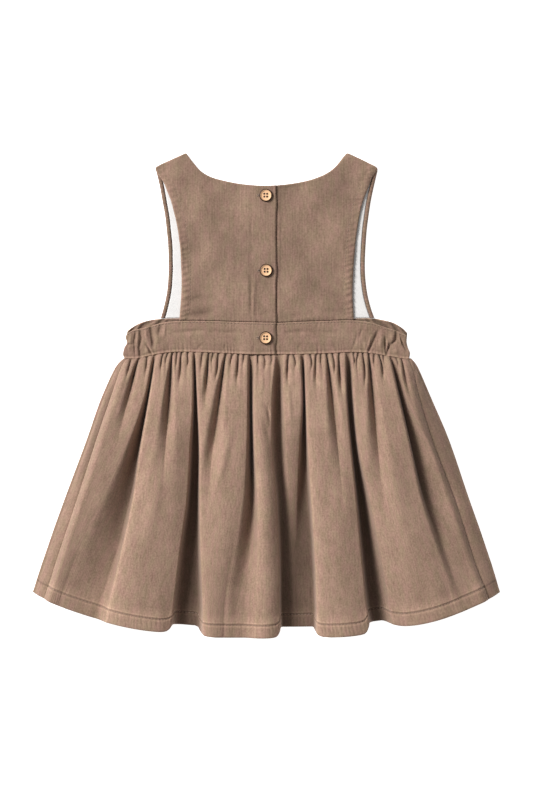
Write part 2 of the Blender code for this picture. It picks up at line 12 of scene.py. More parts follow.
# %% The frame, and the box that everything has to stay in
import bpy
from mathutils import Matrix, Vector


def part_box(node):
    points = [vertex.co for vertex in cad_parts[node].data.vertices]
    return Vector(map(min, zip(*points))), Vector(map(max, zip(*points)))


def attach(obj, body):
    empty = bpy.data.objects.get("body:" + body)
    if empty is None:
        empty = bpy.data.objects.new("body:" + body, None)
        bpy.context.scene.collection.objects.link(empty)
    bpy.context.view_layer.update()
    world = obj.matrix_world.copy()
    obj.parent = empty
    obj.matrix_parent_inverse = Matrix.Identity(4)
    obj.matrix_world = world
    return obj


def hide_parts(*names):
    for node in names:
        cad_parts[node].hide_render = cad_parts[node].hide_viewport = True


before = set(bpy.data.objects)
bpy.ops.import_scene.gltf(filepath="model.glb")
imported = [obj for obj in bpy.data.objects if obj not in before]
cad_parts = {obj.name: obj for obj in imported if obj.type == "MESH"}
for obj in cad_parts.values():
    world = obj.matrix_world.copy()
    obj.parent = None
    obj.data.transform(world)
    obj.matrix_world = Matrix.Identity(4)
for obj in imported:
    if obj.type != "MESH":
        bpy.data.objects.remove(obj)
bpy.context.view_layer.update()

import math
from collections import namedtuple

import bpy
import numpy as np
from mathutils import Vector
from mathutils.geometry import delaunay_2d_cdt

MM = 0.001

# %% [markdown]
# ## One origin for the pattern and the solids
#
# The pattern's origin is a point on the placket, about four centimetres below the waist seam. The solids
# were centred on their own box, a fraction of a millimetre away. The top button shows by how much.

# %% Where the pattern's origin is
BUTTONS = {"button_top": (-0.7, 198.8), "button_middle": (-0.4, 123.7), "button_waist": (-0.9, 56.2)}
low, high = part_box("button_top")
SHIFT = np.array([(low[i] + high[i]) / 2 / MM - BUTTONS["button_top"][i] for i in (0, 1)] + [0.0])
print("shift in mm:", SHIFT.round(3))

# %% [markdown]
# ## The camera and the light
#
# The dress is seen from straight above with a long lens, so that its sides hardly lean. Corduroy needs
# light from one side: a broad lamp on the upper left makes each fold bright on its left edge and leaves
# its right side and the valley behind it dark. The white room adds a weak light from everywhere.

# %% The camera
LENS = 100.0
SENSOR = 36.0
VIEW_HEIGHT = 800.0  # millimetres of table from the bottom of the view to its top
AIM = (0.0, -6.0, 8.0)

scene = bpy.context.scene
camera_data = bpy.data.cameras.new("camera")
camera_data.sensor_fit = "VERTICAL"
camera_data.sensor_height = SENSOR
camera_data.lens = LENS
camera = bpy.data.objects.new("camera", camera_data)
distance = VIEW_HEIGHT * LENS / SENSOR
camera.location = Vector((AIM[0], AIM[1], AIM[2] + distance)) * MM + Vector(SHIFT) * MM
scene.collection.objects.link(camera)
scene.camera = camera
scene.view_settings.view_transform = "Standard"
print("camera at", [round(x, 3) for x in camera.location])

# %% The lamp and the white room
KEY_FROM = Vector((-0.66, 0.42, 0.62))
KEY_DISTANCE = 4.0  # metres
KEY_SIZE = 1.5  # metres
KEY_POWER = 272.0  # watts
ROOM = 0.40
WHITE = (1.0, 1.0, 1.0, 1.0)

key_data = bpy.data.lights.new("key_lamp", "AREA")
key_data.size = KEY_SIZE
key_data.energy = KEY_POWER
key_lamp = bpy.data.objects.new("key_lamp", key_data)
key_lamp.location = KEY_FROM.normalized() * KEY_DISTANCE
key_lamp.rotation_euler = KEY_FROM.to_track_quat("Z", "Y").to_euler()
scene.collection.objects.link(key_lamp)
world = bpy.data.worlds.new("white_room")
world.use_nodes = True
world.node_tree.nodes["Background"].inputs["Color"].default_value = WHITE
world.node_tree.nodes["Background"].inputs["Strength"].default_value = ROOM
scene.world = world
print("lamp at", [round(x, 2) for x in key_lamp.location])

# %% [markdown]
# ## Writing shader maths as Python
#
# A material is a graph of small nodes. Building one by hand takes a line for each node and each link,
# which hides the sum that they stand for. The class below wraps one output socket, so that
# `0.7 + 0.3 * rib` adds the Math nodes by itself. Its method `node` adds any other kind.

# %% A socket that can be used in sums
class Wire:
    """One output of a material's node tree."""

    def __init__(self, tree, socket=None):
        self.tree = tree
        self.socket = socket

    def node(self, kind, settings=None, inputs=None, output=0):
        """Adds a node: its settings first, then the values or wires of its inputs."""
        made = self.tree.nodes.new(kind)
        for name, value in (settings or {}).items():
            if name == "stops":
                stops = made.color_ramp.elements
                while len(stops) < len(value):
                    stops.new(0.5)
                for stop, (place, colour) in zip(stops, value):
                    stop.position = place
                    stop.color = (*colour, 1.0)
            else:
                setattr(made, name, value)
        for name, value in (inputs or {}).items():
            if isinstance(value, Wire):
                self.tree.links.new(value.socket, made.inputs[name])
            else:
                made.inputs[name].default_value = value
        return Wire(self.tree, made.outputs[output])

    def output(self, name):
        """Another output of the node that this wire comes from."""
        return Wire(self.tree, self.socket.node.outputs[name])

    def maths(self, operation, *parts):
        return self.node("ShaderNodeMath", {"operation": operation}, dict(enumerate(parts)))

    def __add__(self, other):
        return self.maths("ADD", self, other)

    def __sub__(self, other):
        return self.maths("SUBTRACT", self, other)

    def __mul__(self, other):
        return self.maths("MULTIPLY", self, other)

    def __rsub__(self, other):
        return self.maths("SUBTRACT", other, self)

    __radd__ = __add__
    __rmul__ = __mul__

    def between(self, a, b):
        """The colour that lies this share of the way from a to b."""
        return self.node("ShaderNodeMix", {"data_type": "RGBA"}, {0: self, 6: a, 7: b}, output=2)

    def scaled(self, share):
        """A colour or vector times a number."""
        return self.node("ShaderNodeVectorMath", {"operation": "SCALE"}, {0: self, "Scale": share})

    def times(self, other):
        """A colour times a colour, or a vector times a vector, part by part."""
        return self.node("ShaderNodeVectorMath", {"operation": "MULTIPLY"}, {0: self, 1: other})

    def noise(self, scale, detail=2.0, roughness=0.5):
        """Soft random patches, from 0 to 1, read at this vector."""
        sizes = {"Vector": self, "Scale": scale, "Detail": detail, "Roughness": roughness}
        return self.node("ShaderNodeTexNoise", None, sizes)

    def bump(self, strength=1.0):
        """The normal of a surface that stands as many metres proud as this number says."""
        return self.node("ShaderNodeBump", None, {"Height": self, "Distance": 1.0, "Strength": strength})


print("Wire adds nodes with", sum(not name.startswith("_") for name in vars(Wire)), "named methods")

# %% Starting and finishing a material
SHADER = "Principled BSDF"


def new_material(name, **constants):
    """A material, its main shader node with some inputs set, and a wire to start sums from."""
    made = bpy.data.materials.new(name)
    made.use_nodes = True
    shader = made.node_tree.nodes[SHADER]
    for key, value in constants.items():
        shader.inputs[key.replace("_", " ")].default_value = value
    return made, shader, Wire(made.node_tree)


def connect(shader, **wires):
    """Links wires to the shader's inputs, whose names have spaces where these have underscores."""
    for name, wire in wires.items():
        wire.tree.links.new(wire.socket, shader.inputs[name.replace("_", " ")])


def cloth_wires(start):
    """The place on the cloth in metres, its part across, its part along, and the tone."""
    cloth = start.node("ShaderNodeAttribute", {"attribute_name": "cloth"}, output="Vector")
    across = cloth.node("ShaderNodeSeparateXYZ", None, {0: cloth})
    return cloth, across, across.output("Y"), across.output("Z")


def sine(place, length):
    """A sine wave from -1 to 1 that repeats after so many metres."""
    turn = place * (2.0 * math.pi / length)
    return turn.maths("SINE", turn)


print("every material ends in one node:", SHADER)

# %% [markdown]
# ## Corduroy
#
# Babycord has about fifteen narrow ribs to the inch. They run along the cloth, so the pattern has to
# follow each panel's own threads through every fold: each mesh carries an attribute named `cloth` with
# the place across and along the cloth, in metres. A third number holds the tone: below 1 it is painted
# shade, deep in folds, creases and grooves, and above 1 it is mostly painted highlight on crests and fold
# edges, and lighter colour along cut edges and seams.
#
# The ribs are a sine wave that wanders a little and that the bump node turns into relief. The worn look
# comes from noise of four sizes: short streaks along the ribs, flecks of pile, and two kinds of broad
# patches. A fifth noise turns the dye a little redder or greener, as in cloth that was dyed after sewing.
# A weak sheen stands for the pile's fibres, which catch light that grazes them.

# %% The corduroy material
RIB = 0.0017  # metres from one rib to the next
RIB_HEIGHT = 0.00006
PILE_HEIGHT = 0.00012
WANDER = 3.0  # how far the ribs wander, in radians of their wave
DYE_WARM = (1.05, 0.99, 1.02, 1.0)
DYE_COOL = (0.96, 1.01, 0.93, 1.0)
CORD_DARK = (0.109, 0.067, 0.045, 1.0)
CORD_LIGHT = (0.322, 0.213, 0.160, 1.0)
SHEEN = (1.0, 0.88, 0.80, 1.0)


def corduroy(name, dark, light):
    made, shader, start = new_material(
        name, Specular_IOR_Level=0.12, Sheen_Weight=0.22, Sheen_Roughness=0.45, Sheen_Tint=SHEEN
    )
    cloth, across, _, tone = cloth_wires(start)
    plane = cloth.times((1.0, 1.0, 0.0))
    streak = plane.times((470.0, 105.0, 1.0)).noise(1.0, 3.0, 0.6)
    patch = plane.noise(26.0, 3.0, 0.6)
    drag = plane.times((90.0, 38.0, 1.0)).noise(1.0, 2.0, 0.5)
    fleck = plane.noise(520.0, 2.0, 0.6)
    dye = plane.times((150.0, 60.0, 1.0)).noise(1.0, 2.0)
    wander = plane.times((60.0, 14.0, 1.0)).noise(1.0, 1.0)
    turn = across * (2.0 * math.pi / RIB) + wander * WANDER
    rib = 0.5 + 0.5 * turn.maths("SINE", turn)
    # the ribs also make the colour a little lighter on their tops and darker in the grooves between them:
    # painted shade
    share = -0.59 + 0.40 * patch + 0.30 * drag + 0.70 * streak + 0.07 * rib + 0.80 * fleck
    tint = (3.0 * dye - 1.0).between(DYE_WARM, DYE_COOL)
    # tone multiplies the colour: painted shade and painted highlight, carried in the cloth attribute
    colour = share.between(dark, light).times(tint).scaled(tone)
    bump = (rib * RIB_HEIGHT + streak * PILE_HEIGHT).bump(0.8)
    connect(shader, Base_Color=colour, Roughness=0.84 + 0.1 * streak, Normal=bump)
    return made


cord = corduroy("babycord", CORD_DARK, CORD_LIGHT)
print("material", cord.name, "with", len(cord.node_tree.nodes), "nodes")

# %% [markdown]
# ## The lining, the thread and the table
#
# The lining is a plain white cotton: threads cross over and under each other. Two sine waves at right
# angles make that weave. The sewing thread has the colours of the cloth, with a slight gloss. The table
# is a sheet of white acrylic, lit from below so that shadows on it stay faint.

# %% Lining and thread
WEAVE = 0.0008  # metres from one thread to the next
WEAVE_HEIGHT = 0.00006
STRAND_HEIGHT = 0.00008
COTTON_WHITE = (0.655, 0.64, 0.625)


def plain_cotton(name, colour):
    made, shader, start = new_material(name, Specular_IOR_Level=0.2)
    cloth, across, along, tone = cloth_wires(start)
    plane = cloth.times((1.0, 1.0, 0.0))
    weave = sine(across, WEAVE) * sine(along, WEAVE)
    patch = plane.noise(60.0, 2.0)
    shade = (0.93 + 0.06 * patch + 0.03 * weave) * tone
    white = start.node("ShaderNodeCombineColor", None, dict(enumerate(colour)))
    bump = (weave * WEAVE_HEIGHT).bump(0.7)
    connect(shader, Base_Color=white.scaled(shade), Normal=bump, Roughness=0.8 + 0.1 * patch)
    return made


def sewing_thread(name, dark, light):
    made, shader, start = new_material(name)
    strand = start.node("ShaderNodeTexCoord", output="Object").noise(2500.0, 2.0)
    colour = strand.between((*dark, 1.0), (*light, 1.0))
    connect(shader, Base_Color=colour, Roughness=0.5 + 0.2 * strand, Normal=(strand * STRAND_HEIGHT).bump())
    return made


cotton = plain_cotton("lining_cotton", COTTON_WHITE)
thread = sewing_thread("cord_thread", (0.19, 0.125, 0.09), (0.32, 0.22, 0.165))
print("materials:", cotton.name, thread.name)

# %% The table
TABLE_GLOW = 0.8
TABLE_HALF = 3.0  # metres
TABLE_LEVEL = -0.0002  # a little below the dress, so that the two never share a plane


def table_white(name):
    made, shader, start = new_material(
        name, Emission_Color=WHITE, Emission_Strength=TABLE_GLOW, Specular_IOR_Level=0.1
    )
    grain = start.node("ShaderNodeTexCoord", output="Object").noise(40.0, 3.0)
    colour = grain.between((0.90, 0.90, 0.90, 1.0), (0.94, 0.94, 0.94, 1.0))
    connect(shader, Base_Color=colour, Roughness=0.85 + 0.1 * grain)
    return made


table_mesh = bpy.data.meshes.new("table_top")
corners = [(x * TABLE_HALF, y * TABLE_HALF, TABLE_LEVEL) for x, y in ((-1, -1), (1, -1), (1, 1), (-1, 1))]
table_mesh.from_pydata(corners, [], [(0, 1, 2, 3)])
table_mesh.materials.append(table_white("table_white"))
table_top = bpy.data.objects.new("table_top", table_mesh)
scene.collection.objects.link(table_top)
print("table top is", 2 * TABLE_HALF, "m square")

# %% [markdown]
# ## Two ways to make a piece of cloth
#
# A gathered skirt or a waistband is a grid: rows along the seam, columns down the cloth. A bodice panel
# is cut to a curved outline, which a grid doesn't fit, so it is filled with triangles. Both are made
# as shells with an upper and an under side, because the edge of a real hem has a thickness.

# %% Small sums that every piece uses
def limited(t):
    """The nearest value from 0 to 1."""
    return np.clip(t, 0.0, 1.0)


def smooth(t):
    """0 to 1 with level ends."""
    t = limited(t)
    return t * t * (3.0 - 2.0 * t)


def mix(a, b, t):
    return a + (b - a) * t


def bell(distance, width):
    """1 on a line, and next to nothing two widths away from it."""
    return np.exp(-((distance / width) ** 2))


def through(xs, ys, at):
    """The value at each place between a table's rows, on a smooth curve."""
    order = np.argsort(xs)
    xs, ys = np.asarray(xs, float)[order], np.asarray(ys, float)[order]
    at = np.clip(at, xs[0], xs[-1])
    i = np.clip(np.searchsorted(xs, at, side="right") - 1, 0, len(xs) - 2)
    before = np.maximum(np.arange(len(xs)) - 1, 0)
    after = np.minimum(np.arange(len(xs)) + 1, len(xs) - 1)
    slope = (ys[after] - ys[before]) / (xs[after] - xs[before])
    gap = xs[i + 1] - xs[i]
    t = (at - xs[i]) / gap
    start = (2 * t**3 - 3 * t**2 + 1) * ys[i] + (t**3 - 2 * t**2 + t) * gap * slope[i]
    return start + (3 * t**2 - 2 * t**3) * ys[i + 1] + (t**3 - t**2) * gap * slope[i + 1]


def running(steps):
    """How far along a line each point is, from the steps between the points."""
    return np.concatenate([[0.0], np.cumsum(steps)])


def lengths(points):
    """How far along a line of points each one is."""
    return running(np.linalg.norm(np.diff(points, axis=0), axis=1))


def spaced(points, step):
    """The line again, with points at even steps."""
    points = np.asarray(points, float)
    run = lengths(points)
    at = np.linspace(0.0, run[-1], max(2, int(round(run[-1] / step)) + 1))
    return np.stack([np.interp(at, run, points[:, i]) for i in range(points.shape[1])], axis=1)


print("a quarter of the way, smoothed:", smooth(0.25))

# %% A mesh from arrays
def set_cloth(mesh, places):
    """Gives each point its place on the cloth, in metres, and its tone."""
    layer = mesh.attributes.new("cloth", "FLOAT_VECTOR", "POINT")
    layer.data.foreach_set("vector", np.asarray(places, float).astype(np.float32).ravel())


def add_object(name, points, faces):
    """An object from points in millimetres."""
    mesh = bpy.data.meshes.new(name)
    mesh.from_pydata(((np.asarray(points) + SHIFT) * MM).tolist(), [], faces)
    made = bpy.data.objects.new(name, mesh)
    scene.collection.objects.link(made)
    return made


def finish_piece(piece, material, places=None):
    """Its material, its place on the cloth, and a smooth surface."""
    piece.data.materials.clear()
    piece.data.materials.append(material)
    piece.data.polygons.foreach_set("use_smooth", [True] * len(piece.data.polygons))
    if places is not None:
        set_cloth(piece.data, np.asarray(places, float) * (MM, MM, 1.0))
    piece.data.update()
    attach(piece, "root")
    return piece


def add_piece(name, points, faces, material, places=None):
    return finish_piece(add_object(name, points, np.asarray(faces).tolist()), material, places)


def stand_for(piece):
    """The piece takes the place of the solid that it is named after, all but its last word."""
    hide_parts(piece.name.rsplit("_", 1)[0])
    print(piece.name, "has", len(piece.data.polygons), "faces")


def surface(piece):
    """The area of one side of a shell, in square metres."""
    return sum(face.area for face in piece.data.polygons) / 2


print("meshes so far:", len(bpy.data.meshes))

# %% A shell between two grids of points
def grid_shell(name, upper, under, places, material):
    """A closed shell between two grids of points, rows by columns. places has the same shape."""
    rows, columns = upper.shape[:2]
    count = rows * columns
    index = np.arange(count).reshape(rows, columns)
    a, b, c, d = index[:-1, :-1], index[1:, :-1], index[1:, 1:], index[:-1, 1:]
    top = np.stack([a, b, c, d], axis=-1).reshape(-1, 4)
    low = np.stack([a, d, c, b], axis=-1).reshape(-1, 4) + count
    rim = np.concatenate([index[0, :-1], index[:-1, -1], index[-1, :0:-1], index[:0:-1, 0]])
    after = np.roll(rim, -1)
    side_faces = np.stack([rim, after, after + count, rim + count], axis=-1)
    points = np.concatenate([upper.reshape(-1, 3), under.reshape(-1, 3)])
    both = np.concatenate([places.reshape(-1, 3)] * 2)
    return add_piece(name, points, np.concatenate([top, low, side_faces]), material, both)


print("a grid shell of r rows and c columns has 2 (r - 1) (c - 1) + 2 (r + c) - 4 faces")

# %% Inside and outside of an outline
def edge_distance(points, outline):
    """How far each point is from a closed outline."""
    a = np.asarray(outline, float)
    b = np.roll(a, -1, axis=0)
    best = np.full(len(points), 1e9)
    for p, q in zip(a, b):
        line = q - p
        t = limited(((points - p) @ line) / max(line @ line, 1e-9))
        best = np.minimum(best, np.linalg.norm(points - p - t[:, None] * line, axis=1))
    return best


def within(points, outline):
    """Which points are inside a closed outline."""
    a = np.asarray(outline, float)
    b = np.roll(a, -1, axis=0)
    odd = np.zeros(len(points), bool)
    for (ax, ay), (bx, by) in zip(a, b):
        if ay == by:
            continue
        crosses = (ay > points[:, 1]) != (by > points[:, 1])
        odd ^= crosses & (points[:, 0] < ax + (points[:, 1] - ay) * (bx - ax) / (by - ay))
    return odd


SQUARE = np.array([(0.0, 0.0), (2.0, 0.0), (2.0, 2.0), (0.0, 2.0)])
TESTED = np.array([(1.0, 1.2), (3.0, 1.2)])
print("inside a square of 2 mm:", within(TESTED, SQUARE), "from its edge:", edge_distance(TESTED, SQUARE))

# %% A shell cut to an outline
EDGE_STEP = 1.6
RINGS = (0.35, 0.8, 1.5, 2.4)  # distances from the edge that get a row of points, so that it can be rounded
ROW_SHARE = 0.87  # rows of even triangles lie this share of their side apart


def panel_points(border, step, rings):
    """Points inside a border: rings along its edge, and a field of even triangles."""
    ahead = np.roll(border, -1, axis=0) - np.roll(border, 1, axis=0)
    after = np.roll(border, -1, axis=0)
    turn = np.sign(np.sum(border[:, 0] * after[:, 1] - after[:, 0] * border[:, 1]))
    inward = turn * np.stack([-ahead[:, 1], ahead[:, 0]], axis=1) / np.linalg.norm(ahead, axis=1)[:, None]
    inner = []
    for ring in rings:
        points = border + inward * ring
        inner.append(points[edge_distance(points, border) > ring * 0.93])
    xs = np.arange(border[:, 0].min(), border[:, 0].max(), step)
    ys = np.arange(border[:, 1].min(), border[:, 1].max(), step * ROW_SHARE)
    field = np.array([(x + step / 2 * (j % 2), y) for j, y in enumerate(ys) for x in xs])
    field = field[within(field, border)]
    inner.append(field[edge_distance(field, border) > rings[-1] + step * 0.5])
    inner = np.concatenate(inner)
    return inner[within(inner, border)]


def cut_shell(name, outline, under, over, material, step, tone=None, rings=RINGS):
    """A closed shell cut to an outline. under(x, y) and over(x, y, edge) give its two sides.

    edge is the distance to the outline, and tone(x, y, edge) gives the tone of the colour, which holds
    painted shade and highlights. A shell that lies flat has a number for its under side.
    """
    border = spaced(np.vstack([outline, outline[:1]]), EDGE_STEP)[:-1]
    inner = panel_points(border, step, rings)
    plan = [Vector(p) for p in np.concatenate([border, inner]).tolist()]
    made = delaunay_2d_cdt(plan, [], [list(range(len(border)))], 1, 1e-4)
    flat = np.array([tuple(p) for p in made[0]])
    triangles = np.array(made[2])
    edge = edge_distance(flat, border)
    x, y = flat[:, 0], flat[:, 1]
    low = under(x, y) if callable(under) else np.full(len(x), under)
    top = over(x, y, edge)
    shade = np.ones(len(x)) if tone is None else tone(x, y, edge)
    count = len(flat)
    sides = np.concatenate([triangles[:, [0, 1]], triangles[:, [1, 2]], triangles[:, [2, 0]]])
    known = {tuple(pair) for pair in sides.tolist()}
    rim = np.array([(a, b) for a, b in sides.tolist() if (b, a) not in known])
    walls = np.concatenate([
        np.stack([rim[:, 1], rim[:, 0], rim[:, 0] + count], axis=1),
        np.stack([rim[:, 1], rim[:, 0] + count, rim[:, 1] + count], axis=1),
    ])
    faces = np.concatenate([triangles, triangles[:, ::-1] + count, walls])
    points = np.concatenate([np.stack([x, y, top], axis=1), np.stack([x, y, low], axis=1)])
    places = np.stack([x, y, shade], axis=1)
    return add_piece(name, points, faces, material, np.concatenate([places, places]))


print("a cut shell has", len(RINGS), "rings of points along its edge")

# %% [markdown]
# ## Creases placed one by one
#
# Cloth that has been worn and packed isn't flat. Each crease is a soft trough or ridge along a short
# line, and no two are alike, so they come from tables: both ends, half its width, and its height, which is
# negative for a trough. The broad, slow waves of a panel are a few long sine waves.

# %% Creases and slow waves
Crease = namedtuple("Crease", "x0 y0 x1 y1 width height")
Wave = namedtuple("Wave", "length angle phase height")


def creased(creases, x, y):
    """The height that a table of creases adds at each place."""
    total = np.zeros(np.shape(x))
    for c in creases:
        line = np.array([c.x1 - c.x0, c.y1 - c.y0])
        t = ((x - c.x0) * line[0] + (y - c.y0) * line[1]) / (line @ line)
        near = limited(t)
        away = np.hypot(x - c.x0 - near * line[0], y - c.y0 - near * line[1])
        taper = 0.35 + 0.65 * np.sin(np.pi * near)
        total = total + c.height * taper * bell(away, c.width)
    return total


def waved(waves, x, y):
    """The height that a table of waves adds at each place."""
    total = np.zeros(np.shape(x))
    for w in waves:
        along = x * math.cos(math.radians(w.angle)) + y * math.sin(math.radians(w.angle))
        total = total + w.height * np.sin(2 * np.pi * along / w.length + w.phase)
    return total


def uneven(x, length, *sways):
    """The phase of a wave about this long, which each sway, so much over so far, hurries and delays."""
    return 2 * np.pi * x / length + sum(much * np.sin(x / far) for much, far in sways)


def rounded(edge, reach, drop):
    """How much a cloth's turned edge falls: drop at the very edge, nothing beyond reach."""
    t = limited(1.0 - edge / reach)
    return -drop * (1.0 - np.sqrt(1.0 - t * t))


print("a turned edge falls by", rounded(np.array([0.0, 0.75, 1.5]), 1.5, 1.2).round(2), "mm")

# %% [markdown]
# ## Stitches
#
# A line of stitches is a row of short threads that dip into the cloth at both ends. At the size of a dress
# they are barely visible one by one, but they make every edge look sewn. Each is a six-sided
# tube that tapers at its ends, and a whole line of them is one mesh.

# %% Stitches along a line on the cloth
STITCH = 2.7
STITCH_GAP = 0.7
THREAD_R = 0.24  # the radius of the thread
SIDES_OF_THREAD = 6
Section = namedtuple("Section", "place size rise")  # a ring of the tube: where, how thick, how high
STITCH_SECTIONS = [Section(*row) for row in (
    (0.0, 0.05, -0.30), (0.12, 0.8, -0.02), (0.5, 1.0, 0.10), (0.88, 0.8, -0.02), (1.0, 0.05, -0.30),
)]


def add_tube(points, faces, middles, radii, beside, up, around=SIDES_OF_THREAD):
    """Adds rings of points round a line of middles, and the faces between them."""
    first = len(points)
    for middle, radius in zip(middles, radii):
        for k in range(around):
            angle = 2 * math.pi * k / around
            points.append(middle + radius * (beside * math.cos(angle) + up * math.sin(angle)))
    for ring in range(len(middles) - 1):
        for k in range(around):
            a, b = first + ring * around + k, first + ring * around + (k + 1) % around
            faces.append((a, b, b + around, a + around))


def add_stitches(name, line, material, stitch=STITCH, gap=STITCH_GAP, radius=THREAD_R):
    """Stitches along a line of points on the cloth's upper side."""
    line = np.asarray(line, float)
    run = lengths(line)
    count = max(1, int(run[-1] / (stitch + gap)))
    points, faces = [], []

    def at(place):
        return np.array([np.interp(place, run, line[:, i]) for i in range(3)])

    for n in range(count):
        begin = (n + 0.5) * run[-1] / count - stitch / 2
        ahead = at(begin + stitch) - at(begin)
        beside = np.array([-ahead[1], ahead[0], 0.0])
        beside /= max(np.linalg.norm(beside), 1e-6)
        up = np.cross(ahead, beside)
        up /= max(np.linalg.norm(up), 1e-6)
        middles = [at(begin + stitch * section.place) + up * section.rise for section in STITCH_SECTIONS]
        add_tube(points, faces, middles, [radius * section.size for section in STITCH_SECTIONS], beside, up)
    made = add_piece(name, points, faces, material)
    return made


print("a stitch is", STITCH, "mm long and", 2 * THREAD_R, "mm thick")

# %% [markdown]
# ## The skirt's folds
#
# A gathered skirt is a strip about twice as wide as its waist. At the seam it is pinched into some forty
# small gathers. Further down they join into a few large folds that fan out to the hem. Simulating
# that would give folds, but not these folds, so all of them are given in two tables. A drop is
# a distance below the waist seam.
#
# A row of VALLEYS runs down to the hem. At each of seven drops it has the valley's left edge, its bottom
# and its right edge, then how high its floor and the fold on its left are, as shares of a full fold. After
# them come how steep its left and its right side are, how much the right side sags, how far the fold on its
# left falls away towards its edges, and where that fold is highest. A row of GATHERS ends above the hem:
# its place at the seam and 100 mm lower, how far down it reaches, its depth, and half its width.

# %% The skirt's outline and its valleys
WAIST = 39.0  # the height of the waist seam on the pattern
Side = namedtuple("Side", "drop edge_left seam_left seam_right edge_right")
SIDES = [Side(*row) for row in (
    (0, -140.6, -137.6, 138.6, 142), (3, -143, -139.6, 140.8, 144.6), (7, -147.4, -142.2, 143, 148.4),
    (14, -152.6, -146, 146, 152.6), (45, -166.5, -156.5, 153.5, 166), (85, -180.5, -170, 165.5, 183),
    (145, -202.8, -189.5, 188.5, 203.5), (205, -224.4, -209.5, 207.5, 224.8),
    (237, -234.8, -219.5, 219, 234.5), (285, -251, -236, 236, 250),
)]
DROPS = (0, 45, 95, 145, 195, 245, 285)
Valley = namedtuple("Valley", "left axis right floor top steep_left steep_right sag fall peak")
EVEN = (1,) * 7  # a full fold all the way down
CLOSED = (0.12, 0.06, 0.03, 0.02, 0.02, 0.02, 0.02)  # a valley that goes down to the front
VALLEYS = [Valley(*row) for row in (
    (
        (-114.5, -123, -142, -165, -187, -206, -216),
        (-112, -119, -128, -137.5, -150, -168, -181),
        (-109.5, -116.5, -125, -132.5, -143, -154.5, -162.5),
        (0.15, 0.10, 0.08, 0.13, 0.28, 0.48, 0.60),
        (0.90, 0.85, 0.76, 0.72, 0.70, 0.70, 0.70), 1, 1.3, 0.12, 0.08, 0.10,
    ),
    (
        (-74, -73.5, -76.5, -79.5, -86.5, -92.5, -98.5),
        (-72, -71, -70, -72.5, -74.5, -75, -76),
        (-70.5, -68.5, -66.2, -66.2, -65, -63, -62),
        CLOSED, EVEN, 4, 5, 0, 0.34, 0.30,
    ),
    (
        (-19.5, -19.5, -20.5, -24, -33, -41, -43),
        (-16.5, -15.5, -14.5, -14.5, -17, -25.5, -30),
        (-10.5, -12.5, -11.5, -8.5, -8.5, -9.5, -11),
        (0.15, 0.08, 0.08, 0.30, 0.46, 0.68, 0.76), EVEN, 1, 1, 0.10, 0.14, 0.45,
    ),
    (
        (8.5, 5, 5.5, 9.5, 12, 12.5, 12.5),
        (13.5, 13.5, 14.5, 15.5, 16.5, 16.5, 16),
        (17.5, 17.5, 19.5, 22.5, 24.5, 26.5, 27.5),
        (0.30, 0.18, 0.17, 0.16, 0.14, 0.14, 0.14), EVEN, 3, 1.6, 0, 0.26, 0.36,
    ),
    (
        (33.5, 35.5, 32.5, 30.5, 29.5, 30.5, 31.5),
        (36.5, 37.5, 38, 40, 43.5, 46, 47),
        (38.5, 39.5, 41.8, 44.8, 48, 50, 51),
        (0.06, 0.08, 0.11, 0.08, 0.08, 0.12, 0.12),
        (1, 1, 0.66, 0.34, 0.17, 0.14, 0.14), 2.5, 3.5, 0, 0.10, 0.40,
    ),
    (
        (78.5, 79.5, 84, 89, 93.5, 98.5, 102.5),
        (82, 83.5, 88, 94.5, 101.5, 109, 114.5),
        (85.5, 87.5, 92.5, 103.5, 113.5, 123, 130),
        CLOSED, EVEN, 4, 2.2, 0, 0.26, 0.40,
    ),
    (
        (121.5, 131.5, 143, 153.5, 169, 185.5, 198.5),
        (124, 134.5, 145.5, 158, 177.5, 197.5, 211),
        (129.5, 141.5, 164.5, 181.5, 199.5, 217.5, 230.5),
        (0.08, 0.05, 0.08, 0.20, 0.45, 0.58, 0.64),
        (1, 1, 1, 1, 0.96, 0.88, 0.82), 1, 1, 0.04, 0.22, 0.50,
    ),
)]
LAST_TOP = (0.90, 0.80, 0.62, 0.48, 0.50, 0.60, 0.64)  # the fold between the last valley and the side seam
print(len(VALLEYS), "valleys run down to the hem")

# %% The gathers
Gather = namedtuple("Gather", "waist low reach depth narrow")
GATHERS = [Gather(*row) for row in (
    (-133.5, -160, 26, 0.75, 0.9), (-127.5, -151, 95, 0.80, 1.4), (-119, -131, 22, 0.70, 0.7),
    (-104, -107, 17, 0.65, 0.6), (-99.5, -102, 11, 0.60, 0.5), (-94.5, -101, 160, 0.74, 1.5),
    (-89.5, -92, 15, 0.60, 0.6), (-85.5, -90.5, 36, 0.80, 1), (-79, -80, 13, 0.65, 0.7),
    (-64.5, -66, 19, 0.55, 0.6), (-58, -64, 60, 0.75, 1.2), (-53.5, -58, 12, 0.65, 0.6),
    (-48.5, -57, 30, 0.70, 0.9), (-41, -52.5, 180, 0.70, 1.5), (-34.5, -40, 14, 0.70, 0.6),
    (-28, -33, 33, 0.65, 1), (-23, -25, 11, 0.60, 0.5), (-8, -8, 12, 0.60, 0.6), (-2.5, -4, 17, 0.50, 0.6),
    (4.5, 3.5, 10, 0.50, 0.5), (22, 23, 34, 0.70, 1), (27.5, 28, 15, 0.55, 0.6), (44, 44.5, 16, 0.70, 0.6),
    (49.5, 52, 40, 0.75, 1.2), (55, 57, 13, 0.60, 0.5), (60.5, 70.5, 180, 0.70, 1.5),
    (66.5, 71, 20, 0.72, 0.7), (72.5, 82, 44, 0.80, 1), (87, 88, 12, 0.60, 0.5), (91.5, 94, 17, 0.60, 0.7),
    (96.5, 101, 36, 0.68, 0.8), (102.5, 112, 200, 0.74, 1.6), (107.5, 112, 14, 0.66, 0.6),
    (113, 124, 28, 0.78, 0.9), (118, 122, 12, 0.55, 0.5), (129.5, 140, 16, 0.65, 0.6),
    (135, 157, 52, 0.80, 1.1),
)]
print(len(GATHERS), "gathers end above the hem")

